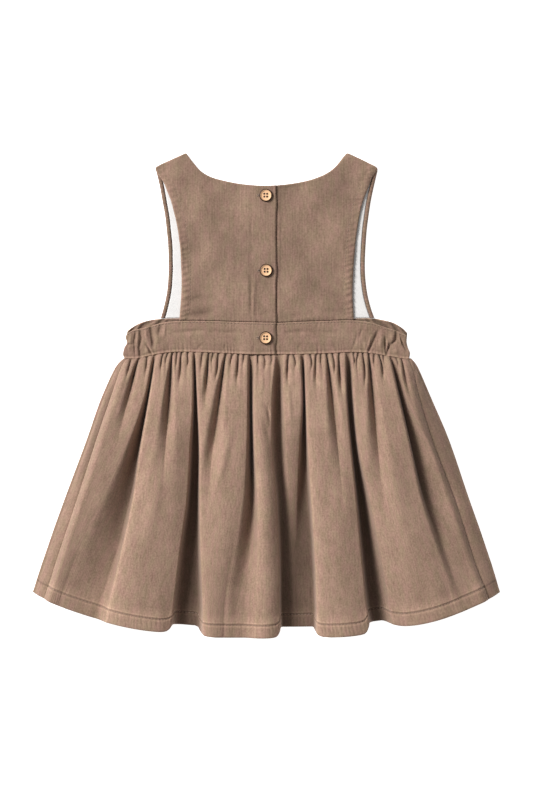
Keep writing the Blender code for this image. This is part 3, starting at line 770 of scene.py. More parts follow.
# %% [markdown]
# ## The waistband's edges, and the levels of the layers
#
# The skirt hangs from the waistband, so the band's edges come first. Its back is a few millimetres
# lower than its front, which is why a strip of the front band shows along the top at both sides.

# %% The tables of the waistband
Band = namedtuple("Band", "top_x back_top front_top bottom_x bottom")
BAND_SECTIONS = [Band(*row) for row in (
    (-139.5, 60.5, 63.5, -144.5, 35.2), (-134, 64, 67.4, -138.5, 35), (-126.5, 65.5, 71.4, -130.5, 34.9),
    (-116.5, 68, 74.2, -118.5, 37.5), (-106.5, 71, 75.5, -106.5, 40), (-91.5, 73, 76, -91.5, 41.7),
    (-66.5, 73.5, 76, -66.5, 41.5), (-16.5, 72, 76, -16.5, 39.5), (9.5, 71.5, 76, 9.5, 39.5),
    (33.5, 72.5, 76, 33.5, 39.5), (63.5, 73.5, 76, 63.5, 40.5), (85.5, 74, 76, 85.5, 41.5),
    (105.5, 71.5, 76, 105.5, 40.5), (118.5, 67, 74, 119.5, 38), (128.5, 64, 71, 131.5, 36),
    (136.5, 60.5, 66, 140, 34.8), (141, 58.5, 61.5, 145.5, 34.8),
)]


def column_of(rows, name):
    return [getattr(row, name) for row in rows]


def band_edge(across, edge, foot="top_x"):
    return through(column_of(BAND_SECTIONS, foot), column_of(BAND_SECTIONS, edge), across)


def seam_drop(across):
    """The drop at which the skirt comes out from under the waistband."""
    return WAIST - band_edge(across, "bottom", "bottom_x")


def side(name, drop):
    return through(column_of(SIDES, "drop"), column_of(SIDES, name), drop)


print("the band's foot is lowest at its ends:", [row.bottom for row in BAND_SECTIONS[::8]])

# %% The levels of the layers
SEAM = 0.3  # the air between two layers
FRONT_SHELL = 1.2  # thickness of the front bodice, and so on
LINING = 1.0
BACK = 1.4
BAND_T = 2.2
LINING_Z = FRONT_SHELL + SEAM
BACK_Z = LINING_Z + LINING + SEAM
BAND_Z = BAND_T + SEAM
LAP_EDGE = 10.0  # where the placket's upper half ends
UNDER_EDGE = -15.5  # how far its lower half runs under it
LAP = 15.0  # the length of the ramp on which the upper half climbs
print("levels in mm: lining", LINING_Z, "back", BACK_Z, "band", BAND_Z)

# %% [markdown]
# ## The height of the folds
#
# The cloth's height at any place is a product: how high a full fold stands at that drop, times the share
# that the large folds and their valleys leave of it, times what the gathers leave. A fold rises from one
# valley and falls slowly to the next, so its light side is broad and its dark side is steep. Just below
# the seam the cloth puffs out, and each pinch between two puffs opens into a small round notch.

# %% How high a full fold stands
SKIRT_LEVEL = 2.6  # the lowest level of the back's cloth
CREST_TOP = 0.9  # how high a full fold stands where it leaves the seam
PUFF = 6.6  # how much the cloth puffs out just below the seam
PUFF_REACH = 4.5
CREST_GAIN = 18.5  # what it gains on its way down
CREST_REACH = 58.0


def crest_height(across, drop):
    """How high a full fold stands. The cloth puffs out as soon as it leaves the seam."""
    puff = PUFF * (1.0 - np.exp(-np.maximum(drop - seam_drop(across), 0.0) / PUFF_REACH))
    return CREST_TOP + puff + CREST_GAIN * (1.0 - np.exp(-np.maximum(drop, 0.0) / CREST_REACH))


print("a full fold's height at four drops:", crest_height(0.0, np.array([0.0, 20.0, 100.0, 280.0])).round(1))

# %% The large folds and their valleys
SIDE_RUN = 8.0  # how far in from the side seam the folds begin
SLUMP = 110.0  # the drop at which the folds have their full fall
LAST_FALL = 0.12  # how far the last fold falls away towards the side seam
FLOOR = 0.02  # no valley goes below this share


def ridges(across, drop):
    """The share of the full height, from left to right: folds that fall slowly, and valleys."""
    start = side("seam_left", drop) + SIDE_RUN
    shape = np.zeros(np.shape(across))
    slump = smooth(drop / SLUMP)
    tops = [through(DROPS, valley.top, drop) for valley in VALLEYS] + [through(DROPS, LAST_TOP, drop)]
    starts = [top * (1.0 - v.fall * slump * (v.peak / (1.0 - v.peak)) ** 2) for top, v in zip(tops, VALLEYS)]
    starts.append(tops[-1])
    for valley, top, before, after in zip(VALLEYS, tops, starts, starts[1:]):
        left, axis, right, floor = (through(DROPS, values, drop) for values in valley[:4])
        t = limited((across - start) / (left - start))
        fold = top * (1.0 - valley.fall * slump * ((t - valley.peak) / (1.0 - valley.peak)) ** 2)
        edge = top * (1.0 - valley.fall * slump)
        down = limited((axis - across) / (axis - left)) ** valley.steep_left
        down = smooth(down) if valley.steep_left == 1 else down
        steps = limited((across - axis) / (right - axis))
        sag = 4.0 * valley.sag * steps * (1.0 - steps)
        climb = mix(np.minimum(floor, after), after, steps**valley.steep_right) - sag
        fall = mix(np.minimum(floor, edge), edge, down)
        low = np.where(across < axis, fall, np.maximum(climb, FLOOR))
        ahead = np.where(shape > 0, shape, before)
        shape = np.where(across >= start, np.where(across < left, fold, low), ahead)
        start = right
    t = limited((across - start) / np.maximum(side("seam_right", drop) - start, 1.0))
    return np.where(across >= start, tops[-1] * (1.0 - LAST_FALL * t * t), shape)


print("share at the first fold:", ridges(np.array([-185.0]), 145.0).round(2))

# %% The gathers between them
FLANK = 0.85  # half the width of a gather's side at the seam
ROUND = 0.42  # how much the small folds at the seam are rounded over their whole width
NOTCH = 1.0  # how much wider a gather opens right at the seam, where each fold ends round
REACH_LOW = 100.0  # the drop at which a gather's second place across is given
BEND = 1.3  # how far a gather bends on its way down
HOOK = 1.5  # how far it hooks to one side at the seam
WIDENS = 0.014  # how much wider it gets for each millimetre down
DEEPER = 0.60  # how much deeper it is right at the seam


def gathers(across, drop):
    """What the gathers that end above the hem leave of the height."""
    shape = np.ones(np.shape(across))
    below = np.maximum(drop - seam_drop(across), 0.0)
    mouth = NOTCH * np.exp(-below / 2.0)
    hook = np.exp(-below / 6.0) - 0.5
    rounding = ROUND * np.exp(-below / 9.0)
    for g in GATHERS:
        share = np.maximum(drop, 0.0) / g.reach
        bend = BEND * math.sin(g.waist * 1.9) * np.sin(np.minimum(share, 1.0) * math.pi)
        bend = bend + HOOK * math.sin(g.waist * 2.7) * hook
        away = np.abs(across - mix(g.waist, g.low, drop / REACH_LOW) - bend)
        reach = np.minimum(drop, g.reach)
        width = mouth + g.narrow * (0.45 + 0.55 * smooth(drop / 24.0)) + WIDENS * reach
        soft = FLANK + (0.012 + 0.05 * g.narrow) * reach
        full = g.depth * (1.0 + 0.25 * math.sin(g.waist * 5.3)) * (1.0 + DEEPER * np.exp(-drop / 8.0))
        depth = np.minimum(full, 1.0) * (1.0 - smooth(share))
        shape = shape * (1.0 - depth * (1.0 - smooth(0.5 + (away - width) / (2.0 * soft))))
        shape = shape * (1.0 - rounding * (1.0 - smooth(away / 2.9)))
    return shape


print("share left in the first gather:", gathers(np.array([-133.5]), np.array([10.0])).round(2))

# %% The height and the hem
SIDE_RISE = (0.46, 0.66)  # the height of the left and the right side seam beside the fold next to it
SOFTEN = 0.5  # how far each sharp crest is rounded off, to both sides
HEM_DROP = 281.5
HEM_RISE = 43.9
HEM_HALF = 234.0
HEM_CURVE = (2.65, 3.0)  # how late the hem's left and right halves begin to rise
Lift = namedtuple("Lift", "start end most run_left run_right")
LIFTS = [Lift(*row) for row in (
    (-93.5, -69.5, 8.8, 3.4, 3.2), (14, 46.5, 9.5, 1.8, 3.2), (102.5, 115, 10.5, 1.8, 14),
)]


def fold_height(across, drop):
    """Height of the cloth above its lowest level."""
    left, right = side("seam_left", drop), side("seam_right", drop)
    inward = limited(np.minimum(across - left, right - across) / SIDE_RUN)
    shape = mix(np.where(across < 0.0, *SIDE_RISE), 1.0, np.sin(inward * np.pi / 2)) * gathers(across, drop)
    beside = ridges(across - SOFTEN, drop) + ridges(across + SOFTEN, drop)
    return crest_height(across, drop) * shape * (0.5 * ridges(across, drop) + 0.25 * beside)


def hem_drop(across):
    """The hem's drop: a low curve, lifted wherever a valley reaches it."""
    lift = np.zeros(np.shape(across))
    for one in LIFTS:
        before = np.maximum(one.start - across, 0.0) / one.run_left
        after = np.maximum(across - one.end, 0.0) / one.run_right
        lift = np.maximum(lift, one.most / (1.0 + before**2 + after**2))
    return HEM_DROP - HEM_RISE * np.abs(across / HEM_HALF) ** np.where(across < 0.0, *HEM_CURVE) - lift


print("the hem is lifted between", [(one.start, one.end) for one in LIFTS])

# %% [markdown]
# ## The cloth of the skirt, column by column
#
# Every column of the mesh is one thread of the cloth, from the waist seam to the hem. The threads
# crowd together at the seam and spread out below, always between the same two lines of a valley. There
# are more of them where a fold's side is steep, so that they are evenly spaced on the cloth itself.

# %% Columns and rows of the skirt
COLUMNS = 588
ROWS_ABOVE = 68
HEM = 12.5  # depth of the turned hem
TUCK = 1.0  # how far the skirt goes up under the rounded edge of the band
SAMPLES = 6001
BESIDE_STITCHES = (3.0, 2.0, 1.2, 0.6, 0.0, -0.7, -1.4)
HEM_ROWS = [HEM + more for more in BESIDE_STITCHES] + [9.5, 7.8, 6.1, 4.4, 2.9, 1.7, 0.9, 0.4, 0.0]

guides = [values for valley in VALLEYS for values in valley[:3]]
LAST = len(guides) + 1


def column_place(column, drop):
    """Where a thread lies across at a drop. Its whole part is the guide line on its left."""
    drop = np.broadcast_to(drop, np.shape(column))
    inner = [through(DROPS, values, drop) for values in guides]
    lines = np.array([side("seam_left", drop), *inner, side("seam_right", drop)])
    i = np.clip(np.floor(column).astype(int), 0, LAST - 1)
    a = np.take_along_axis(lines, i[None], axis=0)[0]
    b = np.take_along_axis(lines, i[None] + 1, axis=0)[0]
    return mix(a, b, column - i)


def thread_columns(count):
    """Columns at even steps on the cloth, on average over its length."""
    fine = np.linspace(0.0, LAST, SAMPLES)
    total = np.zeros(SAMPLES - 1)
    for drop in (2.0, 5.0, 10.0, 20.0, 60.0, 120.0, 180.0, 250.0):
        across = column_place(fine, drop)
        height = fold_height(across, np.full(fine.shape, drop))
        total += np.hypot(np.diff(across), np.diff(height))
    run = running(total)
    return np.interp(np.linspace(0.0, run[-1], count), run, fine)


def skirt_rows(columns):
    """The drop of every row at every column: close together near both seams."""
    start = np.zeros(len(columns))
    end = np.full(len(columns), HEM_DROP)
    for _ in range(5):
        start = seam_drop(column_place(columns, start)) - TUCK
        end = hem_drop(column_place(columns, end))
    pace = np.linspace(0.0, 1.0, ROWS_ABOVE, endpoint=False)
    share = (pace * 0.30 + pace**2 * 0.70) * 0.995
    rows = [mix(start, end - HEM_ROWS[0], t) for t in share]
    rows += [end - row for row in HEM_ROWS]
    return np.array(rows)


columns = thread_columns(COLUMNS)
drops = skirt_rows(columns)
across = column_place(columns[None, :] + 0.0 * drops, drops)
rise = fold_height(across, drops)
print("skirt grid:", drops.shape, "highest fold", round(float(rise.max()), 1), "mm")

# %% [markdown]
# ## The skirt's small creases, and its placket
#
# The buttoned opening runs on down into the skirt for some six centimetres, as the edge of one fold, and
# ends in a short tack that pulls the cloth in. Here and there a fold is dented.

# %% Creases on the skirt
SKIRT_CREASES = [Crease(*row) for row in (
    (-4, -10, 4.5, -19, 1.8, -1.7), (1, -14, 3.5, -30, 1.6, -1.2), (-2, -26, 2, -46, 3.4, -1.2),
    (-50, -24, -58, -72, 4.5, -2.6), (-34, -30, -50, -96, 4, 1.4), (-7, 33, 3, 26, 2.2, -1.5),
    (-2.5, 24, -5, 2, 2.2, 0.8), (-98, -60, -122, -150, 6, 1.3), (-110, -40, -146, -130, 6, -1.5),
    (56, -20, 64, -110, 6, -1.2), (66, -30, 82, -120, 5, 1), (128, -40, 150, -120, 7, -1.2),
    (118, -60, 140, -150, 6, 1.2), (22, 10, 24, -30, 2, 1), (-160, -90, -186, -160, 8, 1),
    (170, -110, 196, -180, 8, 1),
)]
SKIRT_WAVES = [Wave(*row) for row in (
    (61, 12, 0.4, 0.30), (37, -16, 2.1, 0.20), (23, 5, 4.0, 0.10), (95, 70, 1.0, 0.35),
)]

from_hem = drops[-1][None, :] - drops
level = WAIST - drops
relief = creased(SKIRT_CREASES, across, level) + waved(SKIRT_WAVES, across, level) * smooth(drops / 60.0)
relief = relief * smooth(rise / 6.0) * smooth(drops / 6.0)
middle = np.stack([across, level, SKIRT_LEVEL + rise + relief], axis=-1)
print("creases on the skirt:", len(SKIRT_CREASES))

# %% [markdown]
# ## From a grid of points to a cloth
#
# The grid is the middle of the cloth, and half its thickness goes to each side, along the normal. A
# point's place on the cloth is measured along the rows and columns, so that the ribs keep their width
# where a fold is steep.

# %% Normals and places on the cloth
def normals(grid):
    """The upward normal of a grid at each point, square to the seams on its first row and its sides."""
    out = np.cross(np.gradient(grid, axis=0), np.gradient(grid, axis=1))
    out[0, :, 1] = 0.0
    out[:, [0, -1], 0] = 0.0
    return out / np.linalg.norm(out, axis=-1, keepdims=True)


def cloth_places(grid, tone):
    """Each point's place on the cloth: across by its column's spacing, along by its row's mean length."""
    sideways = np.quantile(np.linalg.norm(np.diff(grid, axis=1), axis=-1), 0.8, axis=0)
    down = np.linalg.norm(np.diff(grid, axis=0), axis=-1).mean(axis=1)
    return np.stack([*np.meshgrid(running(sideways), running(down)), tone], axis=-1)


up = normals(middle)
print("steepest place of the cloth:", round(float(np.degrees(np.arccos(up[..., 2].min())))), "degrees")

# %% [markdown]
# ## Painted shade and highlights on the skirt, and the hem
#
# The valleys are darkened with painted shade, and so are the pinches between the gathers at the seam,
# while the crests are made lighter with a painted highlight. The lightest lines are painted highlights
# along the edges of the folds and along the left side seam, and the right side seam gets a painted dark
# line. The hem is turned up and sewn, so it is thicker, and its thread sinks into a groove and draws it
# into fine ribs.

# %% The shade of the folds
FOLD_SHADE = (0.28, 0.56)  # painted shade: how much darker the colour is made deep in a fold, at the waist and at the hem
CREST_HIGHLIGHT = 0.22  # painted highlight: how much lighter the colour is made along the crests
PINCH_SHADE = 0.70  # painted shade: how much darker the colour is made between two gathers, right at the seam
LEFT_EDGE_HIGHLIGHT = (0.0, 0.26, 0.0, 0.26, 0.0, 0.20, 0.14)  # painted highlight: how much lighter each valley's left edge is made
RIGHT_EDGE_HIGHLIGHT = (0.22, 0.10, 0.08, 0.0, 0.18, 0.0, 0.0)  # painted highlight on its right edge
SEAM_LIGHT_AND_SHADE = (0.26, -0.20)  # painted highlight along the left side seam, and a painted dark line of shade along the right one
SIDE_SHADE = 26.0  # how far in from the side seams the painted shade of the folds is fully as deep as elsewhere


def skirt_tone(height, crest, drop, pinch):
    """Tone by depth: painted shade deep in the folds and between the gathers at the seam, painted highlight
    on the crests.
    """
    share = limited(height / np.maximum(crest, 1.0))
    deep = mix(*FOLD_SHADE, smooth(drop / 160.0)) * (1.0 - smooth(share / 0.5))
    between = PINCH_SHADE * (1.0 - pinch) * np.exp(-np.maximum(drop - 3.0, 0.0) / 9.0)
    return (1.0 - deep + CREST_HIGHLIGHT * smooth((share - 0.45) / 0.5)) * (1.0 - between)


def fold_edge_light_and_shade(across, drop):
    """Painted highlights along each edge of a fold and along the left side seam, and a painted dark line
    along the right one.
    """
    total = np.zeros(np.shape(across))
    for valley, *lighter_edges in zip(VALLEYS, LEFT_EDGE_HIGHLIGHT, RIGHT_EDGE_HIGHLIGHT):
        for edge, much, sign, run in zip((valley.left, valley.right), lighter_edges, (-1.0, 1.0), (2.6, 4.6)):
            away = (across - through(DROPS, edge, drop)) * sign
            total = total + much * smooth(drop / 60.0) * bell(away, np.where(away < 0.0, 1.1, run))
    total = total + SEAM_LIGHT_AND_SHADE[0] * bell(across - side("seam_left", drop), 1.5)
    return total + SEAM_LIGHT_AND_SHADE[1] * bell(across - side("seam_right", drop), 0.8)


inward = np.minimum(across - side("seam_left", drops), side("seam_right", drops) - across)
tone = skirt_tone(rise, crest_height(across, drops), drops, gathers(across, drops))
tone = mix(1.0, tone, smooth(inward / SIDE_SHADE)) + fold_edge_light_and_shade(across, drops)
print("tone from", round(float(tone.min()), 2), "to", round(float(tone.max()), 2))

# %% The back of the skirt
SKIRT_T = 1.2  # thickness of the cloth
HEM_RIB = 0.13  # height of the fine ribs across the hem
HEM_RIB_LENGTH = 4.3
HEM_LIFT = 0.45  # how much thicker the turned hem is
GROOVE = 0.50  # depth of its stitched groove


def hem_parts(from_hem, along, sway):
    """Where the hem is turned up, where it is sewn, and the fine ribs that the thread draws in it."""
    turned = smooth((HEM + 0.5 - from_hem) / 1.2)
    groove = bell(from_hem - HEM, 0.8)
    ribs = np.sin(uneven(along, HEM_RIB_LENGTH, (sway, 9.0)) + from_hem * 0.25)
    return turned, groove, ribs * np.exp(-(((from_hem - HEM * 0.55) / (HEM * 0.42)) ** 4))


places = cloth_places(middle, tone)
turned, groove, ribs = hem_parts(from_hem, places[..., 0], 2.0)
beside = bell(from_hem - HEM - 2.0, 0.9)  # the cloth swells above the stitches, and there its colour gets a painted highlight
below = bell(from_hem - HEM + 1.6, 0.8)  # and its colour is lighter below them
swell = HEM_LIFT * turned - GROOVE * groove + 0.45 * beside + HEM_RIB * ribs
swell = swell - 0.5 * bell(from_hem, 0.7)
upper = middle + up * (SKIRT_T / 2 + swell)[..., None]
under = middle - up * SKIRT_T / 2
# the hem's tone: painted shade in the stitched groove, a painted highlight on the swell above it, and a
# little lighter on the turned hem and below the stitches
sewn = 1.0 + 0.05 * turned * (1 - groove) - 0.25 * groove + 0.40 * beside + 0.22 * below
places[..., 2] = tone * sewn
skirt_back = grid_shell("skirt_back_cloth", upper, under, places, cord)
stand_for(skirt_back)
cut_width, cut_length = lengths(middle[-1])[-1], places[-1, 0, 1] + HEM
print("back skirt: cut", round(cut_width), "by", round(cut_length), "mm")

# %% [markdown]
# ## The front of the skirt
#
# The front lies face down under the back. Its sides come round and over, so that the side seams lie about
# fifteen millimetres inside the outline. Where the back rises in a fold, the front follows it half way.

# %% The side that wraps over
FRONT_T = 1.0
FOLLOW = 0.55  # how much of the back's folds the front follows
TURN = 1.7  # the radius of the fold at the outer edge
UNDER_STEPS = (0.2, 0.4, 0.6, 0.8)
OVER_STEPS = (0.12, 0.28, 0.45, 0.62, 0.8, 0.93, 1.0)


def wrap(seam_top, seam_low, edge, sign, level_at):
    """From under the side seam, out to the edge, round it and back over to the seam."""
    half = FRONT_T / 2
    turn = min(TURN, 0.35 * abs(seam_low[0] - edge))
    centre = edge + sign * (half + turn)
    span = seam_low[0] - centre
    out = []
    for t in UNDER_STEPS:
        x = seam_low[0] - span * t
        out.append((x, level_at(x), mix(seam_low[2], half, smooth(t / 0.8))))
    for angle in range(-90, -271, -20):
        a = math.radians(angle)
        x = centre + sign * turn * math.cos(a)
        out.append((x, level_at(x), half + turn + turn * math.sin(a)))
    end = seam_top[0] - sign * 0.2
    for t in OVER_STEPS:
        x = mix(centre, end, t)
        below = max(WAIST - level_at(x), 0.0)
        crown = 1.1 * math.sin(math.pi * t) * smooth(below / 40.0)
        pinched = 1.3 * math.cos(2 * math.pi * x / 5.2) * math.sin(math.pi * t) * math.exp(-below / 26.0)
        out.append((x, level_at(x), mix(half + 2 * turn, seam_top[2] - 0.08, t**0.8) + crown + pinched))
    out.append((end + sign * 1.3, level_at(end), seam_top[2] - 1.4))
    return out


print("the wrapped side has", len(UNDER_STEPS) + 10 + len(OVER_STEPS) + 1, "columns")

# %% The front's cloth, row by row
picked = np.unique(np.concatenate([np.arange(0, COLUMNS, 3), [COLUMNS - 1]]))
front_rows = sorted({*range(0, ROWS_ABOVE, 2), *range(ROWS_ABOVE, len(drops))})
front_grid = []
for j in front_rows:
    height = FRONT_T / 2 + 0.1 + FOLLOW * rise[j, picked]
    inner = np.stack([across[j, picked], level[j, picked], height], axis=-1)
    share = float(smooth((drops[j, 0] - 150.0) / 60.0))
    ends = []
    for k, (name, sign) in enumerate((("edge_left", 1.0), ("edge_right", -1.0))):
        seam_top, seam_low = middle[j][-k], inner[-k]
        at_seam = hem_drop(seam_low[0])

        def level_at(x, y=seam_low[1], at_seam=at_seam, share=share):
            return y + float(at_seam - hem_drop(x)) * share

        edge_x = float(side(name, WAIST - level_at(float(side(name, WAIST - seam_low[1])))))
        ends.append(wrap(seam_top, seam_low, edge_x, sign, level_at))
    if j == len(drops) - 1:
        inner = inner + (0.0, 2.0, 0.0)
    front_grid.append([*reversed(ends[0]), *inner.tolist(), *ends[1]])
front_grid = np.array(front_grid)
print("front skirt grid:", front_grid.shape[:2])

# %% The front of the skirt as a shell
SHOWN = 9  # how many columns of each side can be seen
HOLLOW_SHADE = (0.28, 0.12)  # painted shade: how much darker the left and the right side are made where they dip between two folds
ROLLED = (0.3, 0.9, 1.0, 0.6)  # how light its rolled edge stays there, column by column

size = front_grid.shape[:2]
front_up = normals(front_grid)
from_hem = (drops[-1, 0] - drops[front_rows, 0])[:, None]
places = cloth_places(front_grid, np.ones(size))
turned, groove, ribs = hem_parts(from_hem, places[..., 0], 0.0)
column = np.arange(size[1])
visible = (np.minimum(column, column[::-1]) < SHOWN) * 1.0
swell = (0.3 * turned - 0.5 * groove + 0.2 * ribs) * visible
upper = front_grid + front_up * (FRONT_T / 2 + swell)[..., None]
under = front_grid - front_up * (FRONT_T / 2)
for grid in (upper, under):
    grid[..., 2] = np.maximum(grid[..., 2], 0.0)
drop_along = WAIST - front_grid[..., 1]
hollow_shade = smooth((drop_along - 18.0) / 30.0) * (1.0 - smooth((drop_along - 95.0) / 50.0)) * visible
hollow_shade = hollow_shade * np.where(column < size[1] // 2, *HOLLOW_SHADE)
outer = np.zeros(size[1])
outer[SHOWN - 4 : SHOWN] = ROLLED
outer[-SHOWN : 4 - SHOWN] = ROLLED[::-1]
# the front's tone: painted shade in the hem's stitched groove and where the sides dip, a little lighter on
# the turned hem
places[..., 2] = 1.0 + 0.03 * turned - 0.35 * groove - hollow_shade * (1.0 - outer)
skirt_front = grid_shell("skirt_front_cloth", upper, under, places, cord)
stand_for(skirt_front)
front_width, front_length = places[0, -1, 0], places[-1, 0, 1] + HEM
front_upper = upper
print("front skirt: cut", round(front_width), "by", round(front_length), "mm")

# %% [markdown]
# ## The bodice
#
# The back bodice is two halves that overlap at the placket. The left one lies on top: it climbs over
# the right one on a short ramp. Both armholes are turned in and stitched a finger's width from the
# edge, and the thread has shrunk in the wash, so the edge is drawn into small diagonal puckers.

# %% The tables of the bodice
BACK_ARMHOLE = [  # a height, and where the left and the right armhole are at it
    (223.4, -110.9, 110.2), (217, -106.5, 105.8), (210, -102.1, 103.4), (202, -99.1, 100.1),
    (194, -95.9, 97), (184, -93.2, 94.3), (172, -90.3, 92.1), (159, -88.1, 90.1), (144, -86.3, 88.6),
    (129, -85.6, 87.4), (113, -85.1, 86.5), (98, -85.5, 86.3), (75, -87.3, 87.4),
]
FRONT_ARMHOLE = [
    (223.4, -110.7, 111.3), (209, -107.2, 107.9), (194, -104.5, 104.7), (179, -101.8, 102.4),
    (164, -100.1, 100.5), (149, -98.7, 99.4), (134, -98.3, 98.7), (119, -98.4, 98.9), (104, -99.6, 100.5),
    (94, -101.4, 102.5), (84, -103.8, 105.3), (75, -106.5, 108.7),
]
SHOULDER_LEFT = [(-111.5, 227.0), (-106.5, 230.0), (-96.5, 234.5), (-86.5, 239.0), (-81.5, 241.4)]
SHOULDER_RIGHT = [(81.8, 241.4), (93.5, 236.0), (103.5, 231.0), (109.1, 228.4), (111.5, 226.0)]
NECKLINE = [
    (-80, 241.2), (-76.5, 236), (-72.5, 231), (-66.5, 224), (-56.5, 218), (-41.5, 213.6), (-21.5, 210),
    (-1.5, 208.7), (18.5, 210), (38.5, 213.3), (53.5, 218), (63.5, 223.3), (70.5, 229.5), (77.5, 238.4),
    (80, 241.2),
]
print("armholes from", BACK_ARMHOLE[0][0], "down to", BACK_ARMHOLE[-1][0])

# %% Lines along the bodice's edges
LINE_STEP = 1.6
SIGNS = {"left": 1.0, "right": -1.0}  # the way in from each armhole
ARMHOLE_FOOT = {"left": -104.0, "right": 106.0}  # where the front armholes meet the waistband


def armhole(table, name, at):
    heights, left, right = np.array(table, float).T
    return through(heights, left if name == "left" else right, at)


def neck_line(start, end):
    xs = np.linspace(start, end, int(abs(end - start) / LINE_STEP) + 2)
    return np.stack([xs, through(*np.array(NECKLINE, float).T, xs)], axis=1)


def waist_line(start, end, edge):
    xs = np.linspace(start, end, int(abs(end - start) / LINE_STEP) + 2)
    return np.stack([xs, band_edge(xs, edge) + SEAM], axis=1)


def armhole_line(table, name, inset=0.0):
    """Points down one armhole edge, from the shoulder to the waistband."""
    if table is FRONT_ARMHOLE:
        low = band_edge(ARMHOLE_FOOT[name], "front_top") + SEAM
    else:
        low = band_edge(armhole(table, name, table[-1][0]), "back_top") + SEAM
    ys = np.linspace(table[0][0], float(low), 90)
    return np.stack([armhole(table, name, ys) + SIGNS[name] * inset, ys], axis=1)


def lapped(z, step, x):
    """The left half's underside: it climbs over the right half before the placket."""
    return z + step * smooth((x - (UNDER_EDGE - 1.0 - LAP)) / LAP)


left_arm, right_arm = armhole_line(BACK_ARMHOLE, "left"), armhole_line(BACK_ARMHOLE, "right")
print("armhole edges:", round(lengths(left_arm)[-1]), "and", round(lengths(right_arm)[-1]), "mm")

# %% Creases and waves of the back bodice
BODICE_WAVES = [Wave(*row) for row in (
    (58, 24, 0.6, 0.42), (41, -38, 2.2, 0.26), (83, 75, 1.3, 0.40), (27, 8, 3.9, 0.14), (19, 62, 5.1, 0.08),
)]
BODICE_CREASES = [Crease(*row) for row in (
    (-80, 78, -52, 82, 2.4, -0.55), (-79, 92, -66, 97, 2.6, -0.45), (-76, 86, -50, 90, 3.4, 0.35),
    (-70, 108, -40, 132, 6, -0.40), (-74, 122, -52, 150, 6, 0.35), (-44, 96, -34, 140, 6, 0.35),
    (-26, 84, -22, 120, 4, -0.25), (-13.4, 79, -13, 100, 0.9, 0.80), (-15.4, 79, -15.8, 118, 0.9, -0.85),
    (-13.2, 98, -11, 116, 1.2, 0.45), (-15.5, 118, -15.2, 205, 1, -0.22), (-8, 80, 4, 81.5, 1.6, -0.30),
    (-88, 214, -70, 196, 5, -0.25), (-98, 222, -80, 214, 4, 0.25), (78, 80, 54, 84, 2.6, -0.50),
    (79, 94, 66, 99, 2.6, -0.40), (76, 104, 52, 126, 6, 0.40), (68, 96, 44, 112, 5, -0.35),
    (20, 76, 46, 80, 3, -0.30), (30, 100, 40, 160, 8, 0.30), (60, 150, 44, 190, 7, -0.30),
    (14, 92, 15, 196, 1.6, -0.22), (88, 216, 72, 198, 5, -0.25), (98, 224, 82, 214, 4, 0.25),
)]
WAVE_GAIN = 1.5
CREASE_GAIN = 1.8


def dents(x, y):
    return WAVE_GAIN * waved(BODICE_WAVES, x, y) + CREASE_GAIN * creased(BODICE_CREASES, x, y)


print("creases on the bodice:", len(BODICE_CREASES))

# %% Puckers of the back bodice
PUCKER = 5.6  # spacing of the puckers along the armholes
PUCKER_HEIGHT = 0.95
SLANT = 0.3 * 2 * math.pi / PUCKER  # 0.3 mm along the edge for each millimetre in from it
PUCKER_IN = 9.0  # the armhole's stitch line, in from the edge
STITCH_SINK = 0.28  # how far the thread sinks in
DRAWN_IN = 0.36  # height of the puckers along the waistband
BASE_LIFT = 0.9  # keeps the deepest dent above the under side


def puckers(x, y):
    """Small slanted ridges between the armhole's edge and its stitch line."""
    total = np.zeros(np.shape(x))
    for name, sign in SIGNS.items():
        inset = (x - armhole(BACK_ARMHOLE, name, y)) * sign
        turn = uneven(y, PUCKER, (1.9, 11.0), (1.1, 4.3)) - sign * inset * SLANT
        near = smooth(inset / 1.2) * (1.0 - smooth((inset - PUCKER_IN * 0.55) / (PUCKER_IN * 0.65)))
        strength = 0.45 + 0.55 * smooth((168.0 - y) / 40.0)
        total = total + PUCKER_HEIGHT * near * strength * (0.5 + 0.5 * np.sin(turn)) ** 1.4
        total = total - STITCH_SINK * bell(inset - PUCKER_IN, 0.7)
    return total


def waist_puckers(x, y):
    """Cloth drawn in by the seam along the waistband."""
    height = y - band_edge(x, "back_top")
    turn = uneven(x, 4.6, (1.9, 7.0), (1.1, 3.1))
    return DRAWN_IN * np.sin(turn) * bell(height, 4.5) * smooth(height / 0.8)


def bodice_relief(x, y, edge):
    drawn = puckers(x, y) * smooth(edge / 0.8) + waist_puckers(x, y)
    return dents(x, y) * smooth(edge / 4.0) + drawn + BASE_LIFT


print("puckers down one armhole:", round(lengths(left_arm)[-1] / PUCKER))

# %% The shade and the two sides of the back bodice
LAP_RIDGE = 0.4  # the folded edge is a little thicker than the cloth beside it
LAP_RIDGE_IN = 1.9
LAP_SINK = 0.45  # how far the lapped edge is pressed down on to the half below
TURNED = (1.5, 1.2)  # how far in a turned edge starts to round off, and how far it falls


def bodice_tone(x, y, edge):
    # painted light and shade: a painted shadow right of the placket's edge, a painted highlight on the
    # lapped edge's ridge and on the puckers, painted shade in the creases and painted highlight on the
    # raised dents; the colour is also lighter along the cut edges
    lighter_rim = bell(edge, 0.8)
    beside = np.where(x > LAP_EDGE, bell(x - LAP_EDGE, 5.5), 0.0) * (0.6 + 0.4 * np.cos((y - 170.0) / 25.0))
    drawn = limited(puckers(x, y) / PUCKER_HEIGHT)
    lap_highlight = 0.26 * bell(x - LAP_EDGE + LAP_RIDGE_IN, 0.9) * (0.7 + 0.3 * np.sin(y / 11.0))
    return 0.92 + lap_highlight + 0.07 * dents(x, y) + 0.26 * lighter_rim + 0.10 * drawn - 0.20 * beside


def left_under(x, y):
    return lapped(BACK_Z, BACK + SEAM, x)


